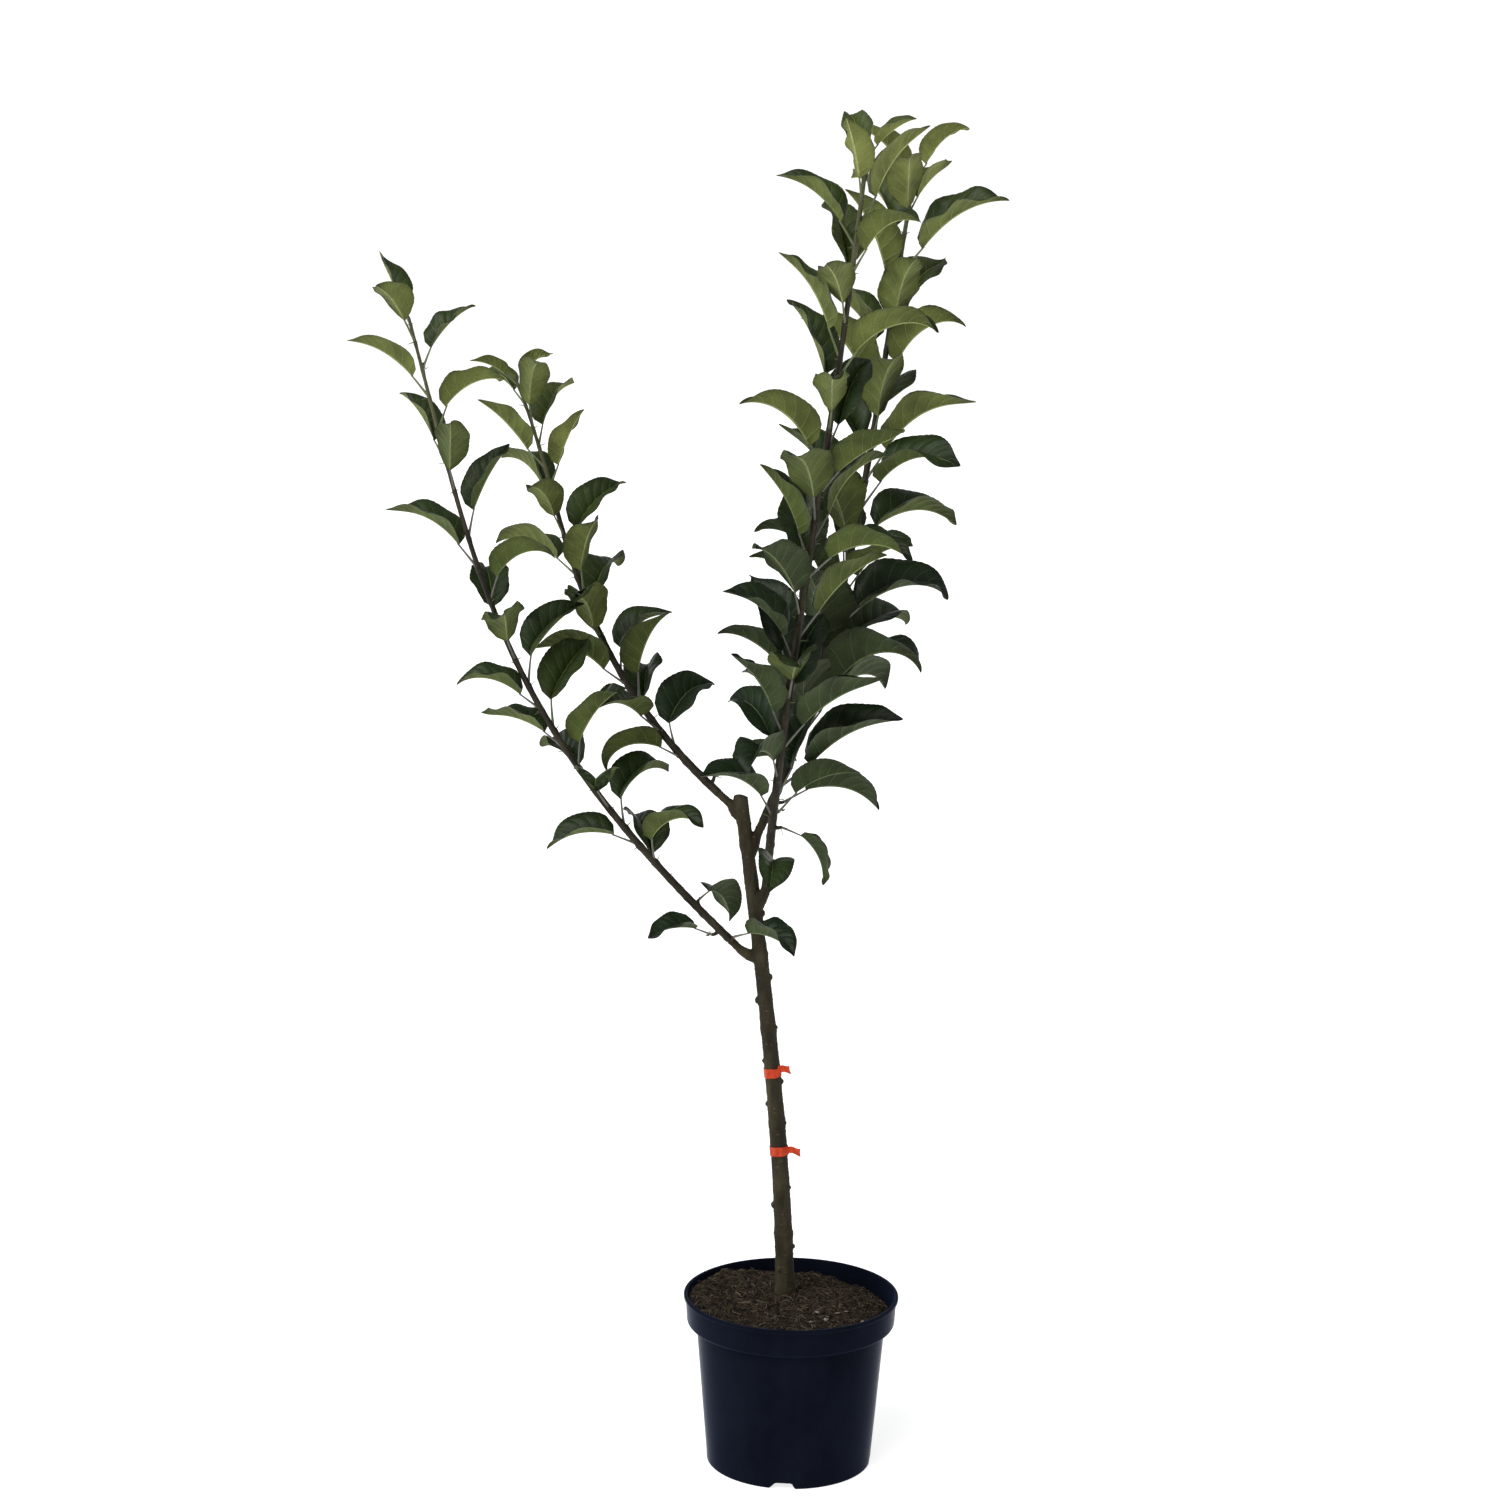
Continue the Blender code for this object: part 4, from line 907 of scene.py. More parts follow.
def add_blade(surface, leaf, tone, rng):
    """The two skins of a blade, with its midrib, side veins, wavy toothed margin and quilted surface."""
    t = T[None, :]
    reach = np.abs(t)
    side = np.where(t < 0, -1.0, 1.0)
    s = ROW_PLACE + ROW_OFFSET * VEIN_HALF_WIDTH * (1.0 - 0.7 * reach)
    u = np.clip(s + VEIN_SWEEP * s * (1.0 - s) * reach**VEIN_CURVE, 0.0, 1.0)
    twist = vary(rng, 0.0, radians(TWIST))
    sway = vary(rng, 0.0, SWAY)
    curl = vary(rng, 0.0, radians(TIP_CURL))
    hook = radians(TIP_HOOK) * rng.uniform(-0.5, 1)
    middle, _, across, upper = blade_frames(leaf, u, twist, sway, curl, hook)
    half = leaf.half_width * fine_half_width(u)
    at_margin = reach == 1.0
    tooth = np.where(np.arange(len(ROW_PLACE))[:, None] % 2 == 0, TOOTH, TOOTH_BACK * TOOTH)
    half = half * (1.0 + np.where(at_margin, tooth, 0.0) * (u > TOOTHED[0]) * (u < TOOTHED[1]))
    angle = leaf.fold * (1.0 - FOLD_LOSS * u) * (HALF_CURVE[0] - HALF_CURVE[1] * reach ** HALF_CURVE[2])
    c, s_angle = np.cos(angle)[..., None], np.sin(angle)[..., None]
    turned = across * side[..., None]
    points = middle + (reach * half)[..., None] * (turned * c + upper * s_angle)
    normal = upper * c - turned * s_angle
    spacing = VEIN_RUN / VEIN_PAIRS
    first = FIRST_VEIN + spacing * np.where(t < 0, 0.25, 0.75)
    quilt = QUILTING * leaf.size * (-0.5 * np.cos(2 * pi * (s - first) / spacing))
    quilt = quilt * np.sqrt(reach) * (1.0 - reach**4) * np.sin(pi * u)
    waves = rng.uniform(*MARGIN_WAVES)
    phases = np.where(t < 0, rng.uniform(*PHASES), rng.uniform(*PHASES))
    wave = rng.uniform(*MARGIN_WAVE) * leaf.size * np.sin(2 * pi * waves * u + phases) * reach**2.5
    points = points + normal * (quilt + wave * np.sin(pi * u) ** 0.5)[..., None]
    on_row = (ROW_SIDE == side) & (ROW_OFFSET == 0) & (reach < VEIN_END)
    ridge = np.where(on_row, VEIN_RIDGE * (1.0 - 0.8 * reach), 0.0)
    ridge = np.where(reach == 0.0, MIDRIB_RIDGE * (1.0 - 0.75 * u), ridge)
    skin = np.where(at_margin, 0.0, BLADE_HALF_SKIN)
    between = (T[:-1] + T[1:]) / 2
    strip = (ROW_SIDE[:-1] != 0) & (ROW_SIDE[:-1] == ROW_SIDE[1:]) & (ROW_PLACE[:-1] == ROW_PLACE[1:])
    on_vein = strip & (ROW_SIDE[:-1] == np.sign(between)) & (np.abs(between) < VEIN_END)
    kinds = np.where(np.abs(between) < COLUMNS[1], RIB_SLOTS, np.where(on_vein, VEIN_SLOTS, 0)).ravel()
    slots = SLOTS_PER_TONE * TONES.index(tone) + kinds
    uv = np.stack(np.broadcast_arrays(u, UV_WIDTH * t), -1).reshape(-1, 2)
    for below, thick in ((0, skin - 0.3 * ridge), (1, -skin - ridge)):
        faces = grid_faces(len(ROW_PLACE), len(T), flip=bool(below))
        surface.add((points + normal * thick[..., None]).reshape(-1, 3), faces, slots + below, uv)


def add_stalk(surface, leaf, wood_radius, slot):
    """From just inside the bark, turning at the neck into the blade's base."""
    start = leaf.root + leaf.stalk * wood_radius * 0.6
    end = leaf.neck + leaf.frame(0.03)[0] * leaf.size * 0.03
    knee = leaf.neck - leaf.stalk * leaf.size * 0.05
    shares = np.arange(STALK_STEPS + 1) / STALK_STEPS
    radii = STALK_NECK_RADIUS + (STALK_FOOT_RADIUS - STALK_NECK_RADIUS) * (1.0 - shares) ** 2.5
    surface.tube(rounding(start, knee, end, STALK_STEPS), radii * (leaf.size / 0.10) ** 0.4, 8, slot)


def add_spike(surface, base, tip, radius, slot, belly=0.35):
    """A slender pointed body, as a stipule or a bud."""
    base, tip = np.array(base), np.array(tip)
    shares = np.linspace(0.0, 1.0, 6)
    radii = radius * np.sin(pi * np.clip(shares * (1 - belly) + belly, 0, 1)) ** 0.8 + 0.00008
    surface.tube(base + np.outer(shares, tip - base), radii, 6, slot)


def add_axil(surface, limb, distance, leaf, rng):
    """The bud above a leaf's foot and the two stipules beside it."""
    tangent = limb.at(distance)[1]
    outward = square_to(leaf.stalk, tangent)
    aside = tangent.cross(outward)
    skin = limb.radius(distance)
    foot = leaf.root + outward * skin * 0.9 + tangent * (skin * 1.1 + 0.002)
    length = BUD_LENGTH * rng.uniform(0.8, 1.25)
    tip = foot + (tangent * 0.9 + outward * 0.45).normalized() * length
    add_spike(surface, foot, tip, BUD_RADIUS, BUD_SLOT, belly=0.30)
    for way in (-1, 1):
        if rng.random() < MISSING_STIPULES:
            continue
        start = leaf.root + outward * skin * 0.8 + aside * way * skin * 0.55
        aim = outward * rng.uniform(0.7, 1.1) + aside * way * rng.uniform(0.5, 0.9)
        aim += tangent * rng.uniform(-0.1, 0.6)
        tip = start + aim.normalized() * rng.uniform(*STIPULE_LENGTH)
        add_spike(surface, start, tip, STIPULE_RADIUS, STIPULE_SLOT)


def tone_of(leaf, share, rng):
    """Painted shade and light: the tone is darker and bluish low in the crown, paler higher up and to the left,
    darker again at the far left; young shoot tips are pale.
    """
    # Painted light to the left, painted shade at the far left.
    left = (LEFT_PAINTED_LIGHT if leaf.neck.x < LEFT_FROM else 0.0) + FAR_LEFT_PAINTED_SHADE * min(0.0, leaf.neck.x - FAR_LEFT)
    value = vary(rng, share, TONE_SPREAD) + PAINTED_SHADING_PER_METRE * (leaf.neck.z - EVEN_HEIGHT) + left
    return TONES[sum(value > limit for limit in TONE_LIMITS)]


# Bark


def add_bark(surface, limb, start, end, bumps, slot):
    """A limb's bark: rings with a fine relief, and a swelling under each leaf and old bud."""
    count = max(3, round((end - start) / SHOOT_STEP) + 1)
    places = np.linspace(start, end, count)
    centres = [tuple(limb.at(place)[0]) for place in places]
    radii = np.array([limb.radius(place) for place in places])
    plain = tube_points(centres, radii, SHOOT_SIDES).reshape(count, SHOOT_SIDES, 3)
    middle = np.array(centres)[:, None, :]
    outward = (plain - middle) / radii[:, None, None]
    swell = np.zeros((count, SHOOT_SIDES))
    for place, facing, height in bumps:
        near = np.exp(-(((places - place + NODE_DROP) / NODE_REACH) ** 2))
        swell += height * near[:, None] * (0.35 + 0.65 * np.clip(outward @ np.array(facing), 0.0, 1.0) ** 2)
    rough = np.zeros((count, SHOOT_SIDES))
    for i, k in np.ndindex(rough.shape):
        p = Vector(plain[i, k]) + Vector((3.1, 0.0, 0.0))
        rough[i, k] = noise.noise(p * 260.0) + 0.6 * noise.noise(Vector((p.x * 620, p.y * 620, p.z * 240)))
    points = middle + outward * (radii[:, None] + swell + rough * SHOOT_RELIEF)[..., None]
    surface.add(points.reshape(-1, 3), grid_faces(count, SHOOT_SIDES, closed=True), slot)


def object_of(bm, name):
    """The bmesh as a new object."""
    mesh = bpy.data.meshes.new(name)
    bm.to_mesh(mesh)
    bm.free()
    return new_object(name, mesh)


def solid_tube(name, centres, radii, sides):
    """A closed tube as an object, for the bark's voxels."""
    bm = bmesh.new()
    verts = [bm.verts.new(p) for p in tube_points(centres, radii, sides)]
    for face in grid_faces(len(centres), sides, closed=True):
        bm.faces.new([verts[i] for i in face])
    bm.faces.new(verts[:sides][::-1])
    bm.faces.new(verts[-sides:])
    bmesh.ops.recalc_face_normals(bm, faces=bm.faces)
    return object_of(bm, name)


def join_objects(name, parts):
    """One mesh of all the parts, which are then removed."""
    bm = bmesh.new()
    for part in parts:
        bm.from_mesh(part.data)
        bpy.data.objects.remove(part)
    return object_of(bm, name)


def apply_all(made):
    """Puts the result of the object's modifiers in place of its mesh."""
    mesh = bpy.data.meshes.new_from_object(made.evaluated_get(bpy.context.evaluated_depsgraph_get()))
    made.modifiers.clear()
    made.data = mesh
    return made


def collar_path(trunk, spec, limb):
    """From the trunk's axis out along the foot of a bough, thick in the collar: points and radii."""
    foot, leaving = limb.at(0.0)
    axis = trunk.at(min(foot.z - spec["collar_drop"], TRUNK_TOP.z) - TRUNK_FOOT.z)[0]
    points = [axis, axis.lerp(foot, 0.55) - UP * 0.002, foot - leaving * 0.004, foot]
    radii = [spec["radii"][0] * wide for wide in COLLAR_SHAPE]
    for i in range(1, 6):
        reach = TRUNK_BRANCH_REACH * i / 5
        points.append(limb.at(reach)[0])
        radii.append(limb.radius(reach))
    return points, radii


def trunk_wood(trunk, limbs):
    """The trunk with its knobs and the feet of the boughs, melted together and given a bark relief."""
    places = [trunk.length * i / TRUNK_STEPS for i in range(TRUNK_STEPS + 1)]
    centres = [trunk.at(0.0)[0] - UP * SUNK_FOOT] + [trunk.at(place)[0] for place in places]
    radii = [trunk.radius(0.0)]
    for place in places:
        swell = sum(RING_HEIGHT * exp(-(((place - ring) / RING_WIDTH) ** 2)) for ring in TRUNK_RINGS)
        uneven = UNEVENNESS * noise.noise(Vector((0.0, 3.0, place * 32.0)))
        radii.append(trunk.radius(place) + BARK_SWELLING + swell + uneven)
    parts = [solid_tube("trunk_core", centres, radii, 40)]
    for name, limb in limbs.items():
        parts.append(solid_tube("collar", *collar_path(trunk, LIMBS[name], limb), 20))
    for distance, heading, radius in KNOBS:
        middle, outward = trunk.at(distance)[0], trunk.across(distance, heading)
        start = middle + outward * trunk.radius(distance) * 0.5
        tip = middle + outward * (trunk.radius(distance) + radius * KNOB_STAND)
        path = [start.lerp(tip, share) for share, _ in KNOB_SHAPE]
        parts.append(solid_tube("knob", path, [radius * wide for _, wide in KNOB_SHAPE], 14))
    wood = join_objects("trunk_bark", parts)
    modify(wood, "REMESH", mode="VOXEL", voxel_size=BARK_VOXEL)
    modify(wood, "SMOOTH", factor=0.6, iterations=6)
    apply_all(wood)
    cut_trunk_top(wood)
    roughen(wood.data, TRUNK_RELIEF)
    wood.data.shade_smooth()
    coat(wood.data, [wood_material(*TRUNK_BARK)])
    dressed(wood, ["trunk"])


def cut_trunk_top(wood):
    """The pruning cut, flat and slanted."""
    bm = bmesh.new()
    bm.from_mesh(wood.data)
    slope = radians(TOP_CUT_SLOPE)
    near = [face for face in bm.faces if (face.calc_center_median() - TRUNK_TOP).length < CUT_REACH]
    pieces = dict.fromkeys(near)
    for face in near:
        pieces.update(dict.fromkeys((*face.verts, *face.edges)))
    found = bmesh.ops.bisect_plane(
        bm,
        geom=list(pieces),
        plane_co=TRUNK_TOP - UP * 0.0005,
        plane_no=(sin(slope), 0.0, cos(slope)),
        clear_outer=True,
    )
    edges = [e for e in found["geom_cut"] if isinstance(e, bmesh.types.BMEdge)]
    bmesh.ops.edgenet_fill(bm, edges=edges)
    bmesh.ops.recalc_face_normals(bm, faces=bm.faces)
    bm.to_mesh(wood.data)
    bm.free()


def roughen(mesh, relief):
    """Fine ridges along the trunk, small pimples and shallow cross wrinkles, moved along the normals."""
    count = len(mesh.vertices)
    points, normals = np.empty(count * 3), np.empty(count * 3)
    mesh.vertices.foreach_get("co", points)
    mesh.vertices.foreach_get("normal", normals)
    points, normals = points.reshape(-1, 3), normals.reshape(-1, 3)
    moved = np.empty(count)
    for i, (x, y, z) in enumerate(points):
        ridges = noise.noise(Vector((x * 420, y * 420, z * 90)))
        wrinkles = noise.noise(Vector((x * 90, y * 90, z * 620)))
        pimples = max(0.0, noise.noise(Vector((x * 300 + 7, y * 300, z * 330))) - 0.30)
        moved[i] = ridges * 0.8 + wrinkles * 0.6 + pimples * 3.0
    points += normals * (moved * relief)[:, None]
    mesh.vertices.foreach_set("co", points.ravel())
    mesh.update()


# Pot, soil and bands


def rounding(start, knee, end, steps):
    """Points of a bend from start to end, drawn towards the knee."""
    shares = [k / steps for k in range(steps + 1)]
    return [(1 - share) ** 2 * start + 2 * share * (1 - share) * knee + share**2 * end for share in shares]


def rounded(profile, corner_steps=4):
    """A profile with each corner (r, z, radius) turned into an arc."""
    points = []
    for i, (r, z, radius) in enumerate(profile):
        here = Vector((r, z))
        if radius <= 0.0:
            points.append(here)
            continue
        start, end = (
            here + (Vector(profile[other][:2]) - here).normalized() * radius for other in (i - 1, i + 1)
        )
        points += rounding(start, here, end, corner_steps)
    return points


def lathe(name, profile, steps):
    mesh = bpy.data.meshes.new(name)
    mesh.from_pydata([(p.x, 0.0, p.y) for p in profile], [(i, i + 1) for i in range(len(profile) - 1)], [])
    made = new_object(name, mesh)
    turn = {"steps": steps, "render_steps": steps, "use_merge_vertices": True, "merge_threshold": 1e-5}
    modify(made, "SCREW", axis="Z", **turn)
    return apply_all(made)


def notch_block(heading):
    """A block in the shape of a foot notch, through the wall at that heading."""
    outward = direction(heading, 0.0)
    side = UP.cross(outward)
    outline = [side * (x * NOTCH_WIDTH) + UP * (z * (CHANNEL_LIFT - GAP)) for x, z in NOTCH_OUTLINE]
    bm = bmesh.new()
    near, far = ([bm.verts.new(outward * (FOOT_RADIUS + depth) + p) for p in outline] for depth in NOTCH_CUT)
    bm.faces.new(near)
    bm.faces.new(far[::-1])
    for k in range(len(near)):
        bm.faces.new((near[k - 1], far[k - 1], far[k], near[k]))
    bmesh.ops.recalc_face_normals(bm, faces=bm.faces)
    return object_of(bm, "notch")


def fine_pot():
    """The pot turned from its wall's profile, with its foot notches cut."""
    band_z = POT_HEIGHT - BAND_HEIGHT
    channel_top = CHANNEL_LIFT + FLOOR
    profile = [
        (0.0, FLOOR, 0.0),
        (PAD_RADIUS - FLOOR, FLOOR, 0.0),
        (PAD_RADIUS, channel_top, 0.0),
        (body_radius(channel_top) - POT_WALL, channel_top, 0.003),
        (BODY_TOP_RADIUS - POT_WALL, band_z + POT_WALL, 0.0015),
        (BAND_FOOT_RADIUS - POT_WALL, band_z + POT_WALL, 0.003),
        (BAND_TOP_RADIUS - POT_WALL, POT_HEIGHT, 0.0012),
        (LIP_RADIUS, POT_HEIGHT, 0.0016),
        (LIP_RADIUS, POT_HEIGHT - LIP_HEIGHT, 0.0016),
        (BAND_TOP_RADIUS, POT_HEIGHT - LIP_HEIGHT - 0.0008, 0.0008),
        (BAND_FOOT_RADIUS, band_z, 0.0045),
        (BODY_TOP_RADIUS, band_z, 0.0012),
        (FOOT_RADIUS + 0.0006, 0.012, 0.004),
        (FOOT_RADIUS, 0.0, 0.0012),
        (FOOT_RADIUS - POT_WALL, 0.0, 0.0004),
        (body_radius(CHANNEL_LIFT) - POT_WALL, CHANNEL_LIFT, 0.001),
        (PAD_RADIUS + FLOOR, CHANNEL_LIFT, 0.001),
        (PAD_RADIUS, 0.0, 0.001),
        (0.0, 0.0, 0.0),
    ]
    pot = lathe("pot_shell", rounded(profile), 192)
    for i in range(NOTCH_COUNT):
        cutter = notch_block(NOTCH_HEADING + 360.0 * i / NOTCH_COUNT)
        modify(pot, "BOOLEAN", operation="DIFFERENCE", object=cutter)
        apply_all(pot)
        bpy.data.objects.remove(cutter)
    coat(pot.data, [plastic_material()])
    pot.data.shade_smooth()
    pot.data.set_sharp_from_angle(angle=radians(38))
    return dressed(pot, ["pot"])


def soil_height(x, y):
    """The top of the soil: heaped to the trunk, sunk along the wall at the back right, lumpy all over."""
    radius = hypot(x, y)
    share = min(radius / SOIL_BRIM, 1.0)
    height = SOIL_CROWN_Z + SOIL_RAISED + (SOIL_EDGE_Z - SOIL_CROWN_Z) * share**HEAP_CURVE
    height -= (SOIL_TILT[0] * x + SOIL_TILT[1] * y) * share
    facing = max(0.0, cos(atan2(y, x) - radians(SUNK_HEADING)))
    outer = min(1.0, max(0.0, (radius - SUNK_RADIUS) / (SOIL_BRIM - SUNK_RADIUS)))
    lumps = sum(size * noise.noise(Vector((x * fine, y * fine, layer))) for size, fine, layer in SOIL_LUMPS)
    away = min(1.0, max(0.0, (radius - LUMPY_FROM) / LUMPY_FADE))
    lumps *= LEAST_LUMPS + (1 - LEAST_LUMPS) * away
    return height - SUNK_DEPTH * facing * outer**SUNK_CURVE + lumps


def on_soil(x, y, lift=0.0):
    return x, y, soil_height(x, y) + lift


def on_circle(radius, angle):
    return radius * cos(angle), radius * sin(angle)


def fine_soil():
    angles = np.arange(SOIL_SECTORS) * 2 * pi / SOIL_SECTORS
    rings = []
    for i in range(SOIL_RINGS):
        radius = CORE + (SOIL_REACH - CORE) * (i / (SOIL_RINGS - 1)) ** 0.9
        rings += [on_soil(*on_circle(radius, a)) for a in angles]
    band_z = POT_HEIGHT - BAND_HEIGHT
    clear = POT_WALL + GAP
    bottom = CHANNEL_LIFT + FLOOR + GAP
    walls = (
        (BAND_FOOT_RADIUS - clear - CORE, band_z + clear + 0.003),
        (BODY_TOP_RADIUS - clear - CORE, band_z + clear),
        (body_radius(bottom) - clear - CORE, bottom),
        (PAD_RADIUS - GAP - CORE, bottom),
        (PAD_RADIUS - FLOOR - GAP, FLOOR + GAP),
        (CORE, FLOOR + GAP),
    )
    for radius, z in walls:
        rings += [(*on_circle(radius, a), z) for a in angles]
    surface = Surface()
    surface.add(rings, grid_faces(SOIL_RINGS + len(walls), SOIL_SECTORS, closed=True), 0)
    surface.piece("soil_bed", [soil_material("soil_peat", *PEAT)], "soil", ["soil"])


def from_trunk(x, y):
    return hypot(x - TRUNK_FOOT.x, y - TRUNK_FOOT.y) - TRUNK_FOOT_RADIUS


def scatter_place(rng, reach):
    while True:
        x, y = on_circle(reach * sqrt(rng.random()), rng.uniform(0, 2 * pi))
        if from_trunk(x, y) > 0.003:
            return x, y


def soil_fibres():
    """Straws and root threads lying on the peat, bent a little."""
    rng = random.Random(FIBRE_SEED)
    surface = Surface()
    kinds = range(len(FIBRES_BY_KIND))
    chances = [chance for chance, *_ in FIBRES_BY_KIND.values()]
    for _ in range(FIBRES):
        x, y = scatter_place(rng, SOIL_REACH - 0.004)
        length = rng.triangular(*FIBRE_LENGTH)
        heading, turn = rng.uniform(0, 2 * pi), rng.uniform(-1.0, 1.0)
        lift, tilt = rng.uniform(*FIBRE_LIFT), rng.uniform(*FIBRE_TILT)
        points = []
        for k in range(6):
            share = k / 5
            points.append(on_soil(x, y, lift + tilt * length * share))
            dx, dy = on_circle(length / 5, heading + turn * share)
            x, y = x + dx, y + dy
        if any(hypot(px, py) > SOIL_REACH - 0.001 or from_trunk(px, py) < 0.002 for px, py, _ in points):
            continue
        radii = rng.triangular(*FIBRE_RADIUS) * FIBRE_SHAPE
        surface.tube(points, radii, 5, rng.choices(kinds, chances)[0])
    materials = [soil_material(name, *colours) for name, (_, *colours) in FIBRES_BY_KIND.items()]
    surface.piece("soil_fibres", materials, "soil", [])


def lump(rng, centre, size, flat):
    """Points and faces of a crumb or chip: a small block with its corners pushed about."""
    sides, rows = 6, 4
    turn = rng.uniform(*PHASES)
    lean = Matrix.Rotation(turn, 3, "Z") @ Matrix.Rotation(rng.uniform(-0.5, 0.5), 3, "X")
    stretch = rng.uniform(0.6, 1.0)
    points = []
    for i in range(rows):
        up = (i / (rows - 1) - 0.5) * 2
        wide = sqrt(max(0.04, 1 - up * up))
        for k in range(sides):
            x, y = on_circle(wide * rng.uniform(0.75, 1.2), 2 * pi * k / sides)
            points.append(Vector(centre) + lean @ Vector((x, y * stretch, up * flat)) * size)
    return points, grid_faces(rows, sides, closed=True)


def soil_crumbs():
    """Bark chips and crumbs of peat all over, and a few pale chips at the front right."""
    rng = random.Random(CRUMB_SEED)
    surface = Surface()
    for sizes, sunk, flat, chances in [CHIP_TERMS] * CHIPS + [CRUMB_TERMS] * CRUMBS:
        place = scatter_place(rng, SOIL_REACH - 0.008)
        size = rng.triangular(*sizes)
        surface.add(
            *lump(rng, on_soil(*place, size * sunk), size, flat),
            rng.choices(range(len(chances)), chances)[0],
        )
    for _ in range(PALE_CHIPS):
        place = rng.uniform(*PALE_X), rng.uniform(*PALE_Y)
        surface.add(*lump(rng, on_soil(*place, PALE_LIFT), rng.uniform(*PALE_SIZE), PALE_FLATNESS), PALE_SLOT)
    materials = [soil_material(name, *colours) for name, colours in CRUMB_COLOURS.items()]
    surface.piece("soil_crumbs", materials, "soil", [])


def moss():
    """Low green tufts at the left of the soil."""
    rng = random.Random(MOSS_SEED)
    surface = Surface()
    for _ in range(TUFTS):
        heading = radians(rng.triangular(*MOSS_HEADINGS))
        place = on_circle(rng.uniform(*MOSS_REACH), heading)
        surface.add(*lump(rng, on_soil(*place), rng.uniform(*MOSS_SIZE), MOSS_FLATNESS), 0)
    surface.piece("soil_moss", [soil_material("moss_green", *MOSS_GREEN)], "soil", [])


def marker_band(label, trunk):
    """A strip of film wound once round the trunk and knotted, with its free end standing out."""
    height, heading, rise, lift = MARKER_BANDS[label]
    middle, tangent = trunk.at(height - TRUNK_FOOT.z)
    radius = trunk.radius(height - TRUNK_FOOT.z) + FILM_GAP
    rng = random.Random(label)
    outward = direction(heading, rise)
    level = square_to(direction(heading, 0.0), tangent)
    other = tangent.cross(level)
    surface = Surface()
    points = []
    for i in range(LOOP_STEPS + 1):
        angle = 2 * pi * i / LOOP_STEPS
        from_knot = min(angle, FULL_TURN - angle)
        out = level * cos(angle) + other * sin(angle)
        pucker = PUCKER * sin(PUCKERS * angle + rng.random())
        pucker += KNOT_BULGE * exp(-((from_knot / BULGE_REACH) ** 2))
        pinch = 1.0 - KNOT_PINCH * exp(-((from_knot / PINCH_REACH) ** 2))
        for k in range(FILM_COLUMNS):
            height = (k / (FILM_COLUMNS - 1) - 0.5) * BAND_WIDTH * pinch
            crease = CREASE * sin(height * CREASE_SCALE + CREASE_TWIST * angle)
            points.append(middle + tangent * height + out * (radius + pucker + crease))
    surface.add(points, grid_faces(LOOP_STEPS + 1, FILM_COLUMNS), 0)
    start = middle + level * (radius + 0.0002) + tangent * lift
    aside = tangent.cross(outward).normalized()
    standing = outward.cross(aside)
    points = []
    for i in range(TAIL_STEPS + 1):
        share = i / TAIL_STEPS
        along = start + outward * TAIL_LENGTH * share + standing * (TAIL_BOW * sin(share * 5.0))
        for k in range(FILM_COLUMNS):
            height = (k / (FILM_COLUMNS - 1) - 0.5) * 2 * BAND_WIDTH * (0.34 + 0.10 * share)
            curl = TAIL_CURL * sin(3.4 * share + k * 0.35) * share
            points.append(along + standing * height + aside * curl)
    surface.add(points, grid_faces(TAIL_STEPS + 1, FILM_COLUMNS), 0)
    heights = np.linspace(-KNOT_REACH, KNOT_REACH, len(KNOT_RADII)).tolist()
    surface.tube([start + standing * h + aside * 0.0004 for h in heights], KNOT_RADII, 10, 0)
    piece = surface.piece(f"marker_film_{label}", [film_material()], "marker_film", [f"marker_band_{label}"])
    modify(piece, "SOLIDIFY", thickness=FILM_THICKNESS, offset=0.0)


# Stage


def make_camera():
    yaw, pitch, roll = (radians(turn) for turn in CAMERA_TURNS)
    forward = Vector((-sin(yaw) * cos(pitch), cos(yaw) * cos(pitch), -sin(pitch)))
    right = Vector((cos(yaw), sin(yaw), 0.0))
    up = right.cross(forward)
    x_axis = right * cos(roll) + up * sin(roll)
    y_axis = up * cos(roll) - right * sin(roll)
    made = new_object("camera", with_settings(bpy.data.cameras.new("camera"), **CAMERA_LENS))
    turned = Matrix((x_axis, y_axis, -forward)).transposed().to_4x4()
    made.matrix_world = Matrix.Translation(CAMERA_PLACE) @ turned
    bpy.context.scene.camera = made
    bpy.context.scene.view_settings.view_transform = "Standard"


def soft_sun(name, colour, strength, heading, rise):
    """A wide soft light that comes from that heading and rise."""
    sun = bpy.data.lights.new(name, "SUN")
    with_settings(sun, energy=strength, angle=radians(LIGHT_SPREAD), color=colour)
    made = new_object(name, sun)
    made.rotation_euler = (-direction(heading, rise)).to_track_quat("-Z", "Y").to_euler()


def make_stage():
    """A lit white table, a low white backdrop all round it, a dimmer room above, and the lights."""
    bpy.ops.mesh.primitive_plane_add(size=TABLE_SIZE, location=(0.0, 0.0, -TABLE_DROP))
    floor = bpy.context.object
    floor.name = "floor"
    glow = {"Emission Color": (1.0, 1.0, 1.0, 1.0), "Emission Strength": TABLE_GLOW}
    white = Look("floor_white", 0.9, {"Base Color": TABLE_WHITE, "Specular IOR Level": 0.0, **glow})
    coat(floor.data, [white.material])
    world = bpy.data.worlds.new("studio")
    world.use_nodes = True
    rise = node(world, "SeparateXYZ", "Z", {"Vector": node(world, "TexCoord", "Generated")})
    room = ramp(world, rise, (BACKDROP_TOP, BACKDROP), (BACKDROP_TOP + BACKDROP_FADE, ROOM))
    background = world.node_tree.nodes["Background"].inputs
    world.node_tree.links.new(room, background["Color"])
    background["Strength"].default_value = BACKDROP_STRENGTH
    bpy.context.scene.world = world
    for terms in LIGHTS:
        soft_sun(*terms)


# Putting it together


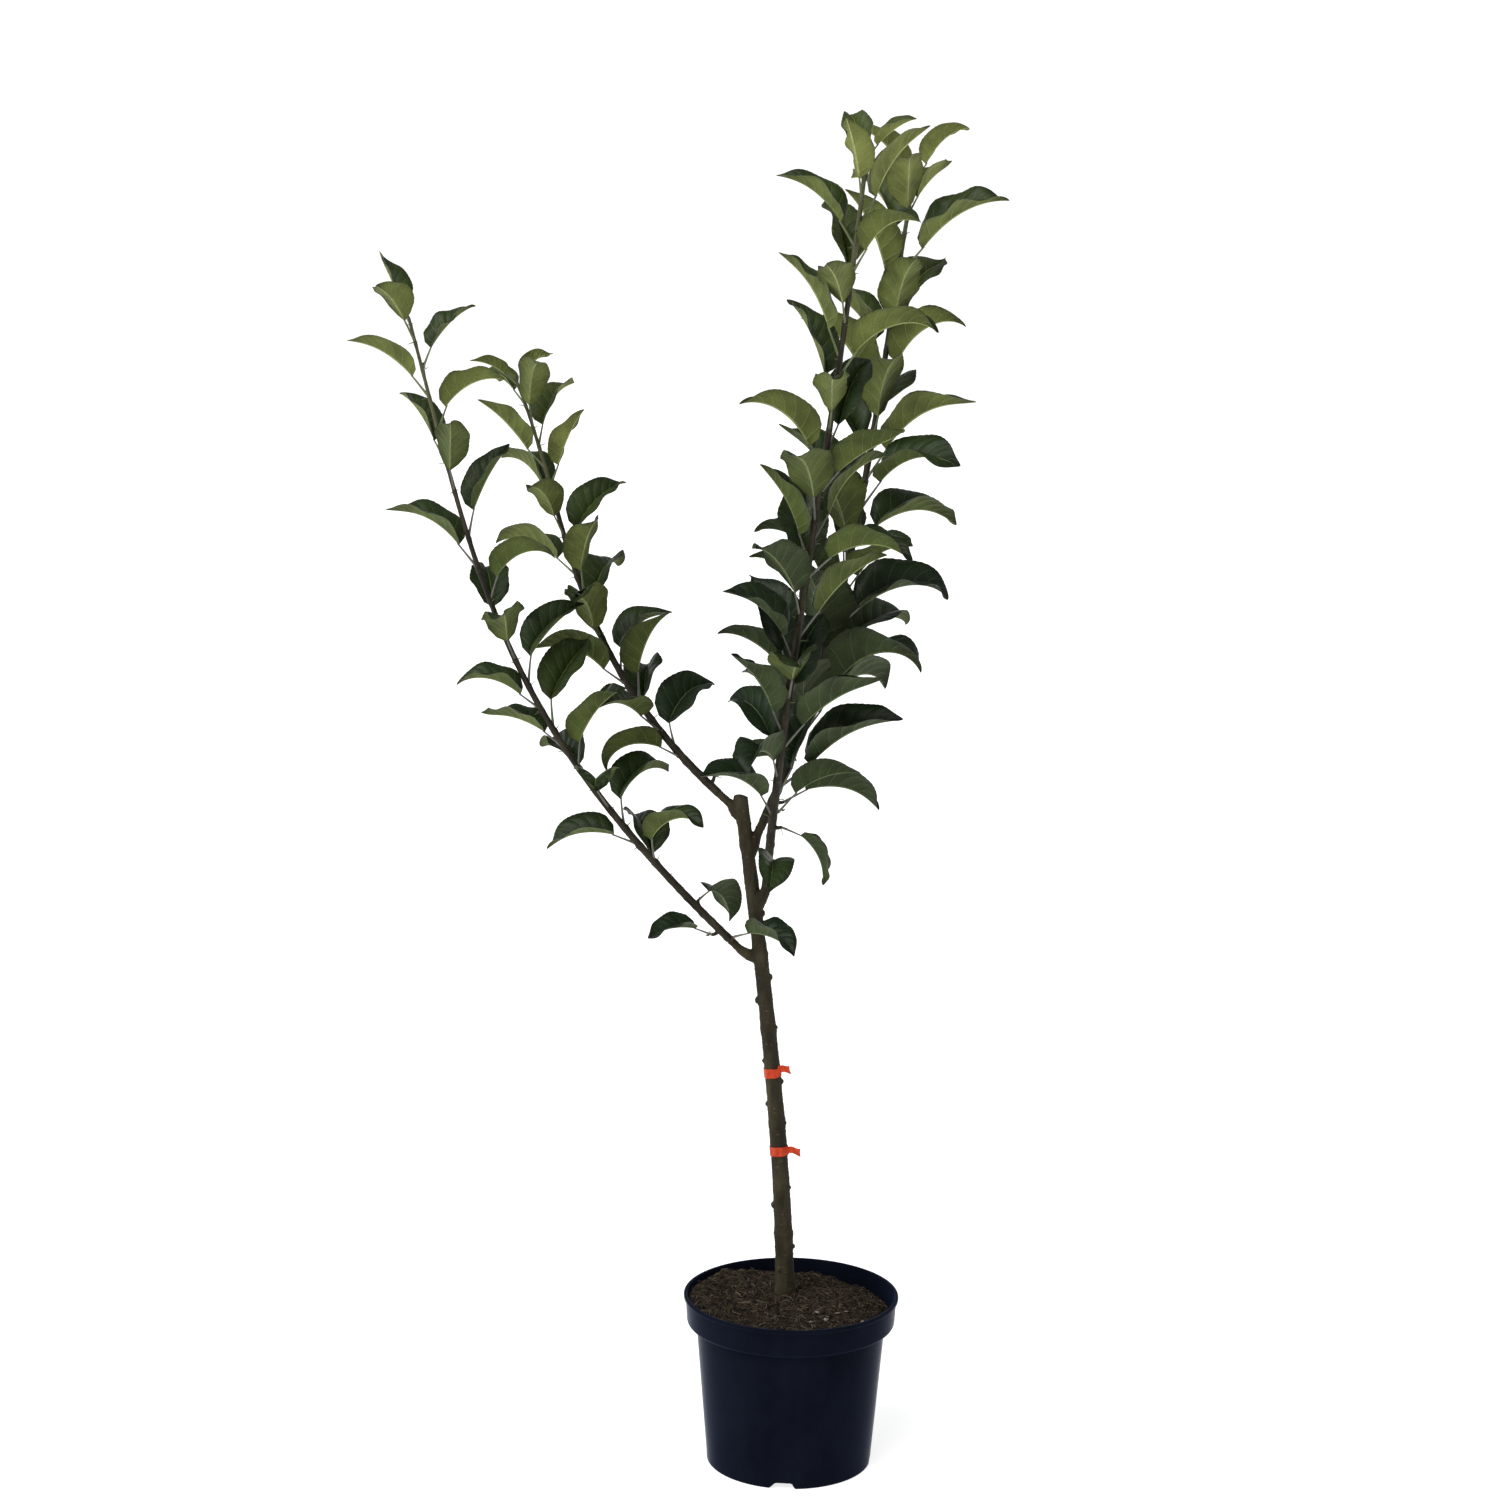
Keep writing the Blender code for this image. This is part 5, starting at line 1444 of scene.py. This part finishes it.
def leaf_materials():
    """For each tone: both skins, then the midrib from above and below, then the side veins likewise."""
    made = []
    for tone, (upper, under, *ribs) in LEAF_COLOURS.items():
        made.append(blade_material(f"leaf_upper_{tone}", upper, True))
        made.append(blade_material(f"leaf_under_{tone}", under, False))
        veins = [[a + (b - a) * VEIN_PALENESS for a, b in zip(*pair)] for pair in zip((upper, under), ribs)]
        for kind, colours in (("rib", ribs), ("vein", veins)):
            for side, colour in zip(SIDES, colours):
                made.append(vein_material(f"leaf_{kind}_{side}_{tone}", colour))
    return made


def foliage_pieces(label, surfaces, materials, node_name):
    """The blades, stalks and bark of one mass or spur as pieces, each kind apart."""
    for kind, surface, material_set in zip(("leaves", "stalks", "twig"), surfaces, materials):
        if surface.count:
            slot = "bough_bark" if kind == "twig" else "leaves"
            surface.piece(f"{kind}_{label}", material_set, slot, [node_name])


def make_shoot(name, limb, placed, materials):
    """One limb's leafy part, mass by mass, and its bare foot."""
    rng = random.Random(name + "fine")
    bare = LIMBS[name]["bare"]
    bumps = []
    for distance, leaf in placed:
        outward = square_to(leaf.stalk, limb.at(distance)[1])
        bumps.append((distance, outward, NODE_SWELLING * rng.uniform(0.7, 1.2)))
    for k in range(OLD_BUDS):
        place = bare * (k + 0.5) / OLD_BUDS
        bumps.append((place, limb.across(place, SPIRAL * k), NODE_SWELLING))
    bough = Surface()
    add_bark(bough, limb, TRUNK_BRANCH_REACH - 0.006, bare + OVERLAP, bumps, 0)
    bough.piece(f"bark_{name}", materials[2], "bough_bark", [f"bough_{name}"])
    green = limb.length - GREEN_TIP
    for label, start, end in stretches(name, limb):
        blades, stalks, bark = surfaces = Surface(), Surface(), Surface()
        for distance, leaf in placed:
            if start <= distance < end:
                tone = tone_of(leaf, distance / limb.length, rng)
                add_blade(blades, leaf, tone, rng)
                stalk_slot = GREEN_STALK if tone in TONES[2:] else GREY_STALK
                add_stalk(stalks, leaf, limb.radius(distance), stalk_slot)
                add_axil(stalks, limb, distance, leaf, rng)
        old = 0 if start < 0.5 * limb.length else 1
        for a, b, slot in ((start, min(end, green), old), (max(start, green), end, 2)):
            if b - a > 0.003:
                add_bark(bark, limb, a, b + OVERLAP, bumps, slot)
        if end > limb.length - 0.001:
            top, aim = limb.at(limb.length)
            end_radius = limb.radius(limb.length) * 1.08
            add_spike(stalks, top - aim * 0.001, top + aim * 0.006, end_radius, BUD_SLOT, belly=0.5)
        foliage_pieces(f"{name}_{label}", surfaces, materials, f"foliage_{name}_{label}")


def make_spur(name, stub, found, materials):
    rng = random.Random(name + "fine")
    blades, stalks, bark = surfaces = Surface(), Surface(), Surface()
    for leaf in found:
        # Painted shade: most spur leaves take the darker shade tone.
        add_blade(blades, leaf, "shade" if rng.random() < 0.7 else "middle", rng)
        add_stalk(stalks, leaf, stub.radius(0.0), GREY_STALK)
        add_axil(stalks, stub, SPUR_LEAVES, leaf, rng)
    start, tangent = stub.at(0.0)
    path = [start - tangent * 0.003] + [stub.at(SPUR_LENGTH * k / 6)[0] for k in range(7)]
    bark.tube(path, [SPUR_RADIUS * swelling for swelling in SPUR_SWELLINGS], 12, 0)
    foliage_pieces(name, surfaces, materials, name)


def make_tree():
    trunk = trunk_limb()
    limbs = {name: shoot_limb(spec) for name, spec in LIMBS.items()}
    crowd = Crowd()
    crowd.add(*ring_surface(trunk, 0.0, trunk.length), owner="trunk")
    for name, limb in limbs.items():
        crowd.add(*ring_surface(limb, 0.0, limb.length), owner=name)
    spurs = {name: place_spur(name, limbs[SPURS[name][0]], crowd) for name in SPURS}
    leaves = {name: place_leaves(name, limb, crowd) for name, limb in limbs.items()}
    trunk_wood(trunk, limbs)
    stalk_materials = [vein_material(*terms) for terms in STALK_COLOURS.items()]
    materials = (leaf_materials(), stalk_materials, [wood_material(*terms) for terms in SHOOT_BARKS])
    for name, limb in limbs.items():
        make_shoot(name, limb, leaves[name], materials)
    for name, (stub, found) in spurs.items():
        make_spur(name, stub, found, materials)
    for label in MARKER_BANDS:
        marker_band(label, trunk)


make_camera()
make_stage()
make_tree()
fine_pot()
fine_soil()
soil_fibres()
soil_crumbs()
moss()
